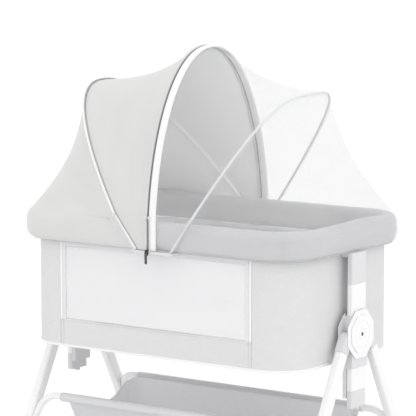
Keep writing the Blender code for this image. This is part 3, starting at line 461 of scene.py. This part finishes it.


# Bakes a piece's placement into its mesh; the shares of the turn between two bodies are clamped and then not
# used
def share(piece, a, b, weights):
    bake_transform(piece)
    [min(1.0, max(0.0, w)) for w in weights]
    return piece


# Outline of the cot
cot = {
    "rimCorner": 0.130,
    "rimPower": 3.0,
    "bodyCorner": 0.108,
    "canopyOver": 0.0022,
}
rimLow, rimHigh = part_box("rim_cover")
rimMiddle = (-0.0235, (rimLow.z + rimHigh.z) / 2)
rimHalf = (0.0230, (rimHigh.z - rimLow.z) / 2)
bodyLow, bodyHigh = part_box("end_panel_right")
bodyBottom, bodyTop = bodyLow.z, bodyHigh.z
bodyHalf = (bodyHigh.x, bodyHigh.y)


def girth(half, corner):
    return 4 * (half[0] - corner + half[1] - corner) + 2 * math.pi * corner


# Point and outward direction at a distance round a rounded rectangle, from its front middle towards +X
def around(s, half, corner):
    sx, sy, turn = half[0] - corner, half[1] - corner, math.pi / 2 * corner
    s %= girth(half, corner)
    for kind, size, data in (
        ("line", sx, ((0, -half[1]), (1, 0), (0, -1))), ("turn", turn, ((sx, -sy), -90)),
        ("line", 2 * sy, ((half[0], -sy), (0, 1), (1, 0))), ("turn", turn, ((sx, sy), 0)),
        ("line", 2 * sx, ((sx, half[1]), (-1, 0), (0, 1))), ("turn", turn, ((-sx, sy), 90)),
        ("line", 2 * sy, ((-half[0], sy), (0, -1), (-1, 0))), ("turn", turn, ((-sx, -sy), 180)),
        ("line", sx, ((-sx, -half[1]), (1, 0), (0, -1))),
    ):
        if s <= size or (kind, data[0]) == ("line", (-sx, -half[1])):
            if kind == "line":
                start, way, out = data
                return Vector((start[0] + way[0] * s, start[1] + way[1] * s, 0)), Vector((*out, 0))
            angle = math.radians(data[1]) + s / corner
            out = Vector((math.cos(angle), math.sin(angle), 0))
            return Vector((*data[0], 0)) + out * corner, out
        s -= size


# A point of the padded rim: distance round the cot, and angle round its section from its outer side
def rimPoint(s, angle, extra=0.0):
    base, out = around(s, (rimHigh.x, rimHigh.y), cot["rimCorner"])
    c, z = math.cos(angle), math.sin(angle)
    power = 2 / cot["rimPower"]
    n = rimMiddle[0] + (rimHalf[0] + extra) * math.copysign(abs(c) ** power, c)
    height = rimMiddle[1] + (rimHalf[1] + extra) * math.copysign(abs(z) ** power, z)
    return base + out * n + Vector((0, 0, height))


# Moves a point that lies in the rim out onto its surface, as cloth drawn over it lies
def clearOfRim(p, gap):
    halfX, halfY, corner = rimHigh.x, rimHigh.y, cot["rimCorner"]
    dx, dy = abs(p.x) - (halfX - corner), abs(p.y) - (halfY - corner)
    if dx > 0 and dy > 0:
        out = Vector((math.copysign(dx, p.x), math.copysign(dy, p.y), 0)).normalized()
        n = math.hypot(dx, dy) - corner
    elif dx - corner > dy - corner:
        out, n = Vector((math.copysign(1, p.x), 0, 0)), dx - corner
    else:
        out, n = Vector((0, math.copysign(1, p.y), 0)), dy - corner
    a, b = (n - rimMiddle[0]) / (rimHalf[0] + gap), (p.z - rimMiddle[1]) / (rimHalf[1] + gap)
    size = (abs(a) ** cot["rimPower"] + abs(b) ** cot["rimPower"]) ** (1 / cot["rimPower"])
    if size >= 1 or size < 1e-6:
        return p
    grow = 1 / size - 1
    return p + out * ((n - rimMiddle[0]) * grow) + Vector((0, 0, (p.z - rimMiddle[1]) * grow))


# Hoops of the canopy, from their nodes and hinges
hoopShapes = {
    "left_hoop": {"body": "left_bow", "joint": "left_hoop_fold", "lean": -38.3, "across": 2.31, "up": 1.36},
    "shade_hoop": {"body": "shade_bow", "joint": "shade_hoop_fold", "lean": -0.4, "across": 2.07, "up": 2.00},
    "net_hoop": {"body": "net_bow", "joint": "net_hoop_fold", "lean": -0.4, "across": 2.07, "up": 2.00},
    "right_hoop": {"body": "right_bow", "joint": "right_hoop_fold", "lean": 35.5, "across": 4.12, "up": 2.01},
}
wireRadius = 0.003
hoopSteps = 96


# The line of one hoop from its front foot to its back foot, and the hinge line that its upper part turns on
class Hoop:
    def __init__(self, node, shape):
        self.node = node
        low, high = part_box(node)
        joint = next(j for j in frame["joints"] if j["name"] == shape["joint"])
        self.body, self.hinge = shape["body"], Vector(joint["pos_m"])
        axis = Vector(joint["axis"])
        self.yaw = axis.x / axis.y
        lean = math.radians(shape["lean"])
        self.rise = Vector((math.sin(lean), 0, math.cos(lean)))
        halfY = (high.y - low.y) / 2 - wireRadius
        self.half = Vector((self.yaw * halfY, halfY, 0))
        start = (self.hinge.z - rimLow.z) / self.rise.z
        tall = (high.z - wireRadius - rimLow.z) / self.rise.z
        foot = self.hinge - self.rise * start
        first = math.asin((start / tall) ** (shape["up"] / 2))
        points = [foot - self.half]
        for k in range(hoopSteps + 1):
            a = first + (math.pi - 2 * first) * k / hoopSteps
            reach = -math.copysign(abs(math.cos(a)) ** (2 / shape["across"]), math.cos(a))
            reach /= math.cos(first) ** (2 / shape["across"])
            points.append(foot + self.half * reach + self.rise * (tall * math.sin(a) ** (2 / shape["up"])))
        points.append(foot + self.half)
        self.line = even(points, 160)
        self.across = self.half.cross(self.rise).normalized()  # out of the hoop's plane, towards +X

    # Degrees from upright about the hinge line, positive towards -X
    def angle(self, p):
        x = self.hinge.x + self.yaw * (p.y - self.hinge.y)
        return math.degrees(math.atan2(x - p.x, p.z - self.hinge.z))


hoops = {name: Hoop(name, shape) for name, shape in hoopShapes.items()}


def foldOf(name):
    joint = next(j for j in frame["joints"] if j["name"] == hoopShapes[name]["joint"])
    return joint["range_deg"][1]


# Canopy skins
canopy = {
    "sag": 0.30,
    "columns": 150,
    "rows": 48,
    "thickness": 0.0009,
    "gather": 0.0009,
    "gatherFade": 1.6,
    "ripples": ((190, 0, 0.6), (117, 1.3, 0.4)),  # turns a metre round the hem, start and size
    "endFade": 12,
    "bulge": 0.0040,
    "hem": -1.30,
    "leave": 0.95,
    "under": 0.004,  # how far below the hoop the cloth leaves the rim
    "wrapped": 0.26,  # share of the side skin that lies on the rim
    "wrapReach": 0.10,
    "allowance": 0.010,
    "tuck": 0.005,  # of the seam allowance under the hoop
    "ease": 1.1,
    "sleeve": 0.0042,
    "netSleeve": 0.0034,
    "beside": 0.0052,  # from a hoop to the zip coil or the painted shadow line along it
    "upright": {"shade_fabric": "shadeHoopSleeve", "net_fabric": "zipTape"},
    # inner faces; the shade's is painted light, a lighter copy of its cloth
    "inside": {"shade_fabric": "shadeInside", "net_fabric": "netInside"},
}


# A point of cloth stretched between a and b, drawn in towards the middle of the cot as its edges pull it
def sagged(a, b, w, u):
    p = a.lerp(b, w)
    pull = canopy["sag"] * (b - a).length * w * (1 - w) * math.sin(math.pi * min(1, max(0, u)))
    inwards = Vector((p.x, p.y, p.z - rimHigh.z))
    return p - inwards.normalized() * pull if inwards.length > 1e-6 else p


# Angle round the rim's section at which cloth at a height leaves it, up to the highest one
def leaveAngle(height, highest):
    up = min(1.0, max(-1.0, (height - rimMiddle[1]) / rimHalf[1]))
    angle = math.asin(math.copysign(abs(up) ** (cot["rimPower"] / 2), up))
    return min(highest, max(canopy["hem"], angle))


# Cloth from a hoop down over one end of the rim and round its outer side, to a gathered hem under it
def sideSkin(name, hoop, sign, slot, replaced):
    half = (rimHigh.x, rimHigh.y)
    first, last = hoop.line[0].x, sign * girth(half, cot["rimCorner"]) / 2 - hoop.line[-1].x
    wrapped, over = canopy["wrapped"], cot["canopyOver"]

    def shape(u, w):
        s, b = first + (last - first) * u, along(hoop.line, u)
        leave = leaveAngle(b.z - canopy["under"], canopy["leave"])
        if w < wrapped:
            k = w / wrapped
            p = rimPoint(s, canopy["hem"] + (leave - canopy["hem"]) * k, over)
            ripple = sum(size * math.sin(s * turns + start) for turns, start, size in canopy["ripples"])
            bulge = canopy["gather"] * ripple * (1 - smooth(k * canopy["gatherFade"]))
            bulge += canopy["bulge"] * math.sin(math.pi * k)
            _, out = around(s, half, cot["rimCorner"])
            return p + out * bulge * smooth(u * canopy["endFade"]) * smooth((1 - u) * canopy["endFade"])
        v = (w - wrapped) / (1 - wrapped)
        return clearOfRim(sagged(rimPoint(s, leave, over), b, v, u), over)

    rise = (along(hoop.line, 0.5) - Vector((sign * half[0], 0, rimHigh.z))).length
    cut = (length(hoop.line), canopy["wrapReach"] + rise)
    shares = []
    bm = sheetOf(shape, canopy["columns"] * 2, canopy["rows"], cut, shares)
    if sign < 0:
        bmesh.ops.reverse_faces(bm, faces=bm.faces)
    made = finished(name, bm, [finishes[slot], trims[canopy["inside"][slot]]],
                    thickness=canopy["thickness"])
    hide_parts(replaced)
    turning = []
    for u, w in shares:
        above = along(hoop.line, u).z > hoop.hinge.z
        turning.append(smooth((w - wrapped) / (1 - wrapped)) * above)
    share(made, "bed", hoop.body, turning)
    places = [first + (last - first) * k / 160 for k in range(161)]
    leaves = [leaveAngle(b.z - canopy["under"], canopy["leave"]) for b in hoop.line]
    edge = [rimPoint(s, leave, over) for s, leave in zip(places, leaves)]
    hem = [rimPoint(s, canopy["hem"], over) for s in places]
    middle = [rimPoint(s, 0, over) for s in places]
    area = ruledArea(hoop.line, edge) + ruledArea(edge, middle) + ruledArea(middle, hem)
    tall = (hoop.line[80] - edge[80]).length + (edge[80] - middle[80]).length + (middle[80] - hem[80]).length
    max(length(hoop.line), length(middle))
    f"{hoop.node.split('_')[0]}HoopSleeve"
    return made


# How much of the upright hoop's turn carries a point of the leaning hoop to where that hoop folds to
def foldedShare(outer, inner, outerFold, innerFold, u):
    p = along(outer.line, u)
    if p.z <= outer.hinge.z:
        return 0.0
    way = math.copysign(1, outer.angle(outer.hinge + outer.rise))
    turned = Matrix.Rotation(-math.radians(outerFold) * way, 3, outer.half.normalized()) @ (p - outer.hinge) \
        + outer.hinge
    return (inner.angle(turned) - inner.angle(p)) * way / innerFold


# Cloth between a leaning hoop and the upright one, with a seam allowance past the leaning hoop
def topSkin(name, outer, inner, sign, slot, replaced, overlap):
    def shape(u, w):
        a, b = along(outer.line, u), along(inner.line, u)
        v = w * (1 + overlap) - overlap
        if v >= 0:
            return sagged(a, b, v, u)
        inwards = Vector((a.x, a.y, a.z - rimHigh.z)).normalized()
        past = (b - a).normalized() * (v * canopy["allowance"] / overlap)
        return a + past - inwards * (canopy["tuck"] - 0.03 * v)

    cut = (length(inner.line), canopy["ease"] * (along(outer.line, 0.5) - along(inner.line, 0.5)).length)
    shares = []
    bm = sheetOf(shape, canopy["columns"] * 2, canopy["rows"], cut, shares)
    if sign < 0:
        bmesh.ops.reverse_faces(bm, faces=bm.faces)
    made = finished(name, bm, [finishes[slot], trims[canopy["inside"][slot]]],
                    thickness=canopy["thickness"])
    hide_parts(replaced)
    folds = [foldOf(hoop.node) for hoop in (outer, inner)]
    turning = []
    for u, w in shares:
        v = max(0.0, w * (1 + overlap) - overlap)
        low = foldedShare(outer, inner, *folds, u)
        high = 1.0 if along(inner.line, u).z > inner.hinge.z else 0.0
        turning.append(low + (high - low) * v)
    share(made, "bed", inner.body, turning)
    area = ruledArea(outer.line, inner.line) + canopy["allowance"] * length(outer.line)
    tall = max((a - b).length for a, b in zip(outer.line, inner.line)) + canopy["allowance"]
    max(length(inner.line), length(outer.line))
    f"{outer.node.split('_')[0]}HoopSleeve"
    return made


# A tube or tape of cloth along a hoop; its shares of the turn, by height above the hinge, are not applied
def sleeve(name, hoop, section, material, offset=(0, 0), replaced=()):
    path = [p + hoop.across * offset[0] for p in hoop.line]
    bm = swept(path, section, lambda p, tangent: hoop.across)
    made = finished(name, bm, [material])
    if replaced:
        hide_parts(*replaced)
    share(made, "bed", hoop.body, [1.0 if v.co.z > hoop.hinge.z else 0.0 for v in made.data.vertices])
    return made


def makeCanopy():
    left, shade, netHoop, right = (hoops[k] for k in ("left_hoop", "shade_hoop", "net_hoop", "right_hoop"))
    sideSkin("shadeSide", left, -1, "shade_fabric", "shade_side")
    topSkin("shadeTop", left, shade, -1, "shade_fabric", "shade_top", 0.08)
    sideSkin("netSide", right, 1, "net_fabric", "net_side")
    topSkin("netTop", right, netHoop, 1, "net_fabric", "net_top", 0.02)
    thick, thin = (oval(canopy[k], canopy[k]) for k in ("sleeve", "netSleeve"))
    coil, shadowLine, tape = oval(0.0018, 0.0022, 8), oval(0.0016, 0.0020, 8), oval(0.0105, 0.0038, 16, 2.6)
    beside = (canopy["beside"], 0)
    sleeve("leftHoopSleeve", left, thick, trims["whiteTape"], replaced=["left_hoop"])
    # dark grey line beside the left hoop's sleeve, a painted shadow
    sleeve("leftHoopPiping", left, shadowLine, trims["greyPiping"], beside)
    sleeve("shadeHoopSleeve", shade, thick, finishes["shade_fabric"], (-0.001, 0), ["shade_hoop"])
    sleeve("zipCoil", shade, coil, trims["darkCoil"], beside)
    sleeve("zipTape", netHoop, tape, trims["whiteTape"], (0.007, 0), ["net_hoop"])
    sleeve("rightHoopSleeve", right, thin, trims["sleeveGrey"], replaced=["right_hoop"])
    print("canopy: four skins, six sleeves and tapes")


# Padded rim and mattress
rimLook = {
    "wrinkle": 0.0016,
    "coarse": (7, 7, 11),
    "fine": (26, 26, 16),
    "fineShare": 0.45,
    "crease": 0.0035,
    "creaseAt": 0.80,  # metres round the rim
    "creaseReach": 0.09,
    "creasePitch": 0.040,
    "covered": 0.35,  # share of the wrinkles that is left under the shade
    "seat": 0.0008,
    "hem": -1.25,
    "hemRadius": 0.0022,
    "columns": 420,
    "rows": 40,
}


def makeRim():
    whole = girth((rimHigh.x, rimHigh.y), cot["rimCorner"])
    backCorner = around(rimLook["creaseAt"], (rimHigh.x, rimHigh.y), cot["rimCorner"])[0]

    def shape(u, w):
        p = rimPoint(u * whole, 2 * math.pi * w)
        free = rimLook["covered"] + (1 - rimLook["covered"]) * smooth((p.x + 0.05) / 0.15)
        swell = noise.noise(p * Vector(rimLook["coarse"])) * rimLook["wrinkle"] * free
        fine = noise.noise(p * Vector(rimLook["fine"]) + Vector((0, 0, 3)))
        swell += fine * rimLook["wrinkle"] * rimLook["fineShare"] * free
        near = math.exp(-((p.xy - backCorner.xy).length / rimLook["creaseReach"]) ** 2)
        swell += near * rimLook["crease"] * math.cos((p.z - rimHigh.z) * 2 * math.pi / rimLook["creasePitch"])
        _, out = around(u * whole, (rimHigh.x, rimHigh.y), cot["rimCorner"])
        away = out * math.cos(2 * math.pi * w) + Vector((0, 0, math.sin(2 * math.pi * w)))
        return p + away * (swell - rimLook["seat"])

    bm = close(sheetOf(shape, rimLook["columns"], rimLook["rows"], (whole, 0.20)))
    made = finished("paddedRim", bm, [finishes["rim_fabric"]])
    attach(made, "bed")
    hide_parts("rim_cover")
    half = (rimHigh.x, rimHigh.y)
    hem = [rimPoint(whole * k / 300, rimLook["hem"], 0.001) for k in range(300)]
    hem.append(hem[0])
    section = oval(rimLook["hemRadius"], rimLook["hemRadius"], 8)
    bm = swept(hem, section, lambda p, t: t.cross(Vector((0, 0, 1))), ring=True)
    cord = finished("rimHem", bm, [trims["hemTape"]])
    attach(cord, "bed")
    print("rim: padded cover and hem, girth", round(girth(half, cot["rimCorner"]), 3))


mattressLook = {
    "crown": 0.004,
    "edgeInset": 0.0035,
    "edgeBulge": 0.004,
    "voxel": 0.008,
    "pressure": 4.0,
    "frames": 20,
    "mostMove": 0.006,
}


# Blows a pad up as stuffed cloth does, with how far it may move limited, and leaves a plain mesh
def puffed(piece, look):
    start = piece.copy()
    start.data = piece.data.copy()
    bpy.context.scene.collection.objects.link(start)
    remesh = start.modifiers.new("remesh", "REMESH")
    remesh.mode, remesh.voxel_size = "VOXEL", look["voxel"]
    bpy.context.view_layer.update()
    dense = bpy.data.meshes.new_from_object(start.evaluated_get(bpy.context.evaluated_depsgraph_get()))
    start.modifiers.clear()
    start.data = dense
    rest = [v.co.copy() for v in dense.vertices]
    cloth = start.modifiers.new("cloth", "CLOTH")
    cloth.settings.use_pressure, cloth.settings.uniform_pressure_force = True, look["pressure"]
    cloth.settings.effector_weights.gravity = 0
    cloth.point_cache.frame_start, cloth.point_cache.frame_end = 1, look["frames"]
    scene = bpy.context.scene
    for step in range(1, look["frames"] + 1):
        scene.frame_set(step)
    blown = bpy.data.meshes.new_from_object(start.evaluated_get(bpy.context.evaluated_depsgraph_get()))
    for v, was in zip(blown.vertices, rest):
        move = v.co - was
        if move.length > look["mostMove"]:
            v.co = was + move.normalized() * look["mostMove"]
    scene.frame_set(1)
    piece.data = blown
    bpy.data.objects.remove(start)
    blown.shade_smooth()
    return piece


def makeMattress():
    low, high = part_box("mattress")
    half, corner = (high.x - 0.005, high.y - 0.005), cot["bodyCorner"] - 0.02
    tall = high.z - low.z

    def shape(u, w):
        base, out = around(u * girth(half, corner), half, corner)
        if w < 0.30 or w > 0.70:
            k = w / 0.30 if w < 0.5 else (1 - w) / 0.30
            flat = base * k
            crown = mattressLook["crown"] * (1 - k * k)
            z = low.z + 0.0015 if w < 0.5 else high.z - 0.006 + crown
            return Vector((flat.x, flat.y, z))
        turn = math.pi * ((w - 0.30) / 0.40 - 0.5)
        bulge = mattressLook["edgeBulge"] * math.cos(turn)
        z = (low.z + high.z) / 2 + (tall / 2 - mattressLook["edgeInset"]) * math.sin(turn)
        return Vector((base.x, base.y, z)) + out * bulge

    bm = close(sheetOf(shape, 120, 40, (girth(half, corner), 0.6)))
    made = finished("mattressPad", bm, [finishes["mattress_fabric"]])
    puffed(made, mattressLook)
    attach(made, "bed")
    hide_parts("mattress")
    print("mattress: crowned pad")


# Fabric body
bodyLook = {
    "wall": 0.0020,
    "netWall": 0.0005,
    "slack": 0.0009,
    "binding": 0.0070,
    "lift": 0.0001,
    "tape": (0.0020, 0.0095),  # from the window's edge, away from the middle
    "tapeProud": 0.0014,
    "flange": (-0.0095, 0.0015),
    "flangeProud": 0.0010,
    "headLap": 0.002,
    "sillSeam": (-0.003, 0.001),
    "seamProud": 0.0008,
    "billow": 0.0030,
}
windowLow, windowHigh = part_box("front_window")
panelLow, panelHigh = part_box("front_panel")


def slackCloth(p, size):
    broad = noise.noise(p * Vector((6, 6, 10)))
    long = noise.noise(p * Vector((3, 3, 30)) + Vector((0, 0, 9)))
    return (broad + long / 2) * size


def makeEnds():
    seam = panelHigh.x
    whole = girth(bodyHalf, cot["bodyCorner"])
    for side, sign in (("left", -1), ("right", 1)):
        def shape(u, w):
            s = sign * (seam + (whole / 2 - 2 * seam) * u)
            base, out = around(s, bodyHalf, cot["bodyCorner"])
            p = base + Vector((0, 0, bodyBottom + (bodyTop - bodyBottom) * w))
            hold = math.sin(math.pi * w) * smooth(u * 16) * smooth((1 - u) * 16)
            return p + out * (slackCloth(p, bodyLook["slack"]) - 0.0004) * hold
        bm = sheetOf(shape, 220, 40, (whole / 2 - 2 * seam, bodyTop - bodyBottom))
        if sign < 0:
            bmesh.ops.reverse_faces(bm, faces=bm.faces)
        made = finished(f"{side}EndCloth", bm, [finishes["heather_fabric"], trims["lining"]],
                        thickness=bodyLook["wall"])
        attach(made, "bed")
        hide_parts(f"end_panel_{side}")
        cut = (whole / 2 - 2 * seam, bodyTop - bodyBottom)
        cut[0] * cut[1]
    print("body: two ends")


def makeSides():
    for side, sign in (("front", -1), ("back", 1)):
        y = sign * bodyHalf[1]
        wide, tall = panelHigh.x - panelLow.x, bodyTop - bodyBottom
        breaks = [panelLow.x, windowLow.x, windowHigh.x, panelHigh.x]

        def shape(u, w):
            x = panelLow.x + wide * u
            z = bodyBottom + tall * w
            for edge in breaks:
                if abs(x - edge) < wide / 128:
                    x = edge
            for edge in (windowLow.z, windowHigh.z):
                if abs(z - edge) < tall / 60:
                    z = edge
            give = slackCloth(Vector((x, y, z)), bodyLook["slack"]) * math.sin(math.pi * w)
            give *= smooth(min(abs(x - panelLow.x), abs(x - panelHigh.x)) * 40)
            return Vector((x, y + sign * (give * 0.5 - 0.0004), z))

        bm = sheetOf(shape, 128, 60, (wide, tall))
        hole = [f for f in bm.faces if windowLow.x < f.calc_center_median().x < windowHigh.x
                and windowLow.z < f.calc_center_median().z < windowHigh.z]
        bmesh.ops.delete(bm, geom=hole, context="FACES")
        if sign > 0:
            bmesh.ops.reverse_faces(bm, faces=bm.faces)
        made = finished(f"{side}Cloth", bm, [finishes["heather_fabric"], trims["lining"]],
                        thickness=bodyLook["wall"])
        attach(made, "bed")
        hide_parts(f"{side}_panel")
        makeWindow(side, sign)
    print("body: two sides with windows")


# A sewn band on a long side, from one corner to another
def strip(name, low, high, y, proud, material):
    size = high - low
    upright = size.z > size.x
    if upright:
        start, run = Vector((low.x + size.x / 2, y, low.z)), Vector((0, 0, size.z))
    else:
        start, run = Vector((low.x, y, low.z + size.z / 2)), Vector((size.x, 0, 0))
    path = [start + run * k / 60 for k in range(61)]
    halfWide = (size.x if upright else size.z) / 2
    section = oval(halfWide, proud, 16, 3.5)
    way = Vector((1, 0, 0)) if upright else Vector((0, 0, 1))
    bm = swept(path, section, lambda p, t: way)
    made = finished(name, bm, [material], sharp=50)
    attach(made, "bed")
    return made


def makeWindow(side, sign):
    y = sign * (bodyHalf[1] - 0.0014)
    wide, tall = windowHigh.x - windowLow.x, windowHigh.z - windowLow.z

    def shape(u, w):
        billow = bodyLook["billow"] * math.sin(math.pi * u) * math.sin(math.pi * w)
        billow += noise.noise(Vector((u * 5, w * 3, sign))) * 0.0012 * math.sin(math.pi * w)
        return Vector((windowLow.x + wide * u, y - sign * billow, windowLow.z + tall * w))

    bm = sheetOf(shape, 80, 30, (wide, tall))
    pane = finished(f"{side}WindowNet", bm, [finishes["mesh_fabric"]],
                    thickness=bodyLook["netWall"], side=0)
    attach(pane, "bed")
    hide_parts(f"{side}_window")
    face = sign * (bodyHalf[1] + bodyLook["lift"])
    sill, head = windowLow.z, windowHigh.z
    for name, x in (("Left", windowLow.x), ("Right", windowHigh.x)):
        way = 1 if x > 0 else -1
        low, high = sorted(x + way * edge for edge in bodyLook["tape"])
        strip(f"{side}{name}ZipTape", Vector((low, 0, sill)), Vector((high, 0, bodyTop)), face,
              bodyLook["tapeProud"], trims["whiteTape"])
        low, high = sorted(x + way * edge for edge in bodyLook["flange"])
        strip(f"{side}{name}Flange", Vector((low, 0, sill)), Vector((high, 0, head)), face,
              bodyLook["flangeProud"], trims["greyTape"])
    strip(f"{side}HeadBand", Vector((windowLow.x, 0, head - bodyLook["headLap"])),
          Vector((windowHigh.x, 0, bodyTop)), face, bodyLook["flangeProud"], trims["greyTape"])
    low, high = (sill + edge for edge in bodyLook["sillSeam"])
    strip(f"{side}SillSeam", Vector((windowLow.x, 0, low)), Vector((windowHigh.x, 0, high)), face,
          bodyLook["seamProud"], finishes["heather_fabric"])


# Binding round the body's lower edge, and the cloth under its floor
def makeBase():
    whole = girth(bodyHalf, cot["bodyCorner"])
    middle = bodyBottom + bodyLook["binding"] / 2
    path = []
    for k in range(300):
        base, out = around(whole * k / 300, bodyHalf, cot["bodyCorner"])
        path.append(base + out * 0.0003 + Vector((0, 0, middle)))
    path.append(path[0])
    section = oval(0.0014, bodyLook["binding"] / 2, 12, 3.0)
    bm = swept(path, section, lambda p, t: t.cross(Vector((0, 0, 1))), ring=True)
    made = finished("baseBinding", bm, [trims["whiteTape"]])
    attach(made, "bed")
    low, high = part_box("floor_panel")
    half, corner = (high.x, high.y), cot["bodyCorner"] - 0.003

    def shape(u, w):
        base, _ = around(u * girth(half, corner), half, corner)
        p = base * w
        drop = 0.0008 * (1 - w * w) + noise.noise(Vector((p.x * 9, p.y * 9, 2))) * 0.0004 * (1 - w)
        return Vector((p.x, p.y, low.z + 0.0012 - drop))

    bm = close(sheetOf(shape, 120, 16, (girth(half, corner), 0.5)))
    bmesh.ops.reverse_faces(bm, faces=[f for f in bm.faces if f.normal.z > 0])
    floor = finished("floorCloth", bm, [finishes["floor_fabric"]], thickness=0.0008)
    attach(floor, "bed")
    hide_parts("floor_panel")
    print("body: base")


# Storage basket
basketLook = {
    "wall": 0.0022,
    "hem": 0.0125,
    "tubeRadius": 0.010,
    "floorSag": 0.004,
    "corner": 0.045,
    "endDip": 0.050,
    "run": 0.385,  # half the length of the hems
    "floorRows": 0.4,  # share of the rows that lie on the floor
    "bow": 0.005,
    "give": 0.0012,
}
basketLow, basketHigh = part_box("basket")


# Sling in two halves, joined down the middle of its floor, with a hem for each that goes with its own cross
# tube
def makeBasket():
    tubeLow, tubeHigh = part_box("rear_stretcher")
    tubeRadius, floorRows = basketLook["tubeRadius"], basketLook["floorRows"]
    tubeY, tubeZ = tubeLow.y + tubeRadius, tubeHigh.z - tubeRadius
    halfX, halfY = basketHigh.x - 0.002, tubeY - basketLook["hem"] + 0.001
    floorX, floorY = halfX * 0.96, basketHigh.y * 0.74
    bottom, top = basketLow.z + 0.002, tubeZ
    corner = basketLook["corner"]

    def shapeFor(sign):
        def shape(u, w):
            climb = max(0.0, (w - floorRows) / (1 - floorRows))
            ease = smooth(climb) * 0.4 + climb * 0.6
            half = (floorX + (halfX - floorX) * ease, floorY + (halfY - floorY) * ease)
            whole = girth(half, corner)
            place = (0.5 * u - 0.25) if sign < 0 else (0.25 + 0.5 * u)
            base, out = around(place * whole, half, corner)
            if w <= floorRows:
                flat = base * (w / floorRows)
                return Vector((flat.x, flat.y, bottom + basketLook["floorSag"] * (w / floorRows) ** 2))
            atEnd = smooth((abs(base.x) - halfX + 0.05) / 0.045)
            dip = basketLook["endDip"] * atEnd * (1 - smooth((abs(base.y) - halfY * 0.30) / (halfY * 0.68)))
            z = bottom + basketLook["floorSag"] + (top - dip - bottom - basketLook["floorSag"]) * climb ** 1.2
            p = Vector((base.x, base.y, z))
            give = noise.noise(Vector((p.x * 9, p.y * 9, p.z * 16))) * basketLook["give"]
            return p - out * ((basketLook["bow"] + give) * math.sin(math.pi * climb))
        return shape

    for side, sign, leg in (("front", -1, "front_legs"), ("rear", 1, "rear_legs")):
        cut = (girth((halfX, halfY), corner) / 2, halfY + top - bottom)
        bm = sheetOf(shapeFor(sign), 160, 44, cut)
        bmesh.ops.remove_doubles(bm, verts=bm.verts, dist=0.00002)
        bmesh.ops.recalc_face_normals(bm, faces=bm.faces)
        # the inner face takes the lighter copy of the cloth, painted light
        made = finished(f"{side}BasketHalf", bm, [finishes["basket_fabric"], trims["basketInside"]],
                        thickness=basketLook["wall"], side=0)
        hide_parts("basket")
        share(made, "hubs", leg, [abs(v.co.y) / tubeY for v in made.data.vertices])
        path = [Vector(((2 * k / 60 - 1) * basketLook["run"], sign * tubeY, tubeZ)) for k in range(61)]
        bm = swept(path, oval(basketLook["hem"], basketLook["hem"], 20), lambda p, t: Vector((0, 1, 0)))
        hem = finished(f"{side}BasketHem", bm, [finishes["basket_fabric"]])
        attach(hem, leg)
        flatFloor = (4 * floorX * floorY - (4 - math.pi) * corner ** 2) / 2
        slant = math.hypot(halfY - floorY, top - bottom)
        walls = (girth((floorX, floorY), corner) + girth((halfX, halfY), corner)) / 4 * slant
        dips = basketLook["endDip"] * halfY
        flatFloor + walls - dips
    print("basket: two halves and their hems")


# Hard pieces
hardLook = {"edge": 0.0007, "sharp": 32}
softNodes = {
    "back_panel", "back_window", "end_panel_left", "end_panel_right", "floor_panel", "front_panel",
    "front_window", "mattress", "net_side", "net_top", "rim_cover", "shade_side", "shade_top", "basket",
    "left_hoop", "right_hoop", "shade_hoop", "net_hoop",
}
hiddenNodes = {"base_board", "base_frame", "top_frame", "lock_bolt_left", "lock_bolt_right"}


def makeHard():
    slots = {s["node"]: s["material_slot"] for s in frame["record"]["subparts"]}
    for name, node in frame["nodes"].items():
        material = finishes[slots[name]]
        node.data.materials.clear()
        node.data.materials.append(material)
        if name in softNodes or name in hiddenNodes:
            continue
        bm = bmesh.new()
        bm.from_mesh(node.data)
        bmesh.ops.remove_doubles(bm, verts=bm.verts, dist=0.00001)
        bmesh.ops.dissolve_limit(bm, angle_limit=math.radians(0.5), verts=bm.verts, edges=bm.edges)
        words = name.split("_")
        made = finished(words[0] + "".join(w.capitalize() for w in words[1:]), bm, [material],
                        sharp=hardLook["sharp"])
        edge = made.modifiers.new("edge", "BEVEL")
        edge.width, edge.segments, edge.limit_method = hardLook["edge"], 2, "ANGLE"
        edge.angle_limit, edge.harden_normals = math.radians(hardLook["sharp"]), True
        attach(made, node["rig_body"])
        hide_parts(name)
    print("hard pieces finished")


def makeFloor():
    bm = bmesh.new()
    bmesh.ops.create_grid(bm, x_segments=1, y_segments=1, size=shot["floorSize"] / 2)
    ground = Finish("paleFloor", (0.93, 0.93, 0.93), 0.9, Specular_IOR_Level=0.1)
    ground.tint(ground.grain(ground.place(), 3.0), (0.92, 0.92, 0.92))
    floor = finished("floor", bm, [ground.material])


setCamera()
setLight()
makeFloor()
makeCanopy()
makeRim()
makeMattress()
makeEnds()
makeSides()
makeBase()
makeBasket()
makeHard()
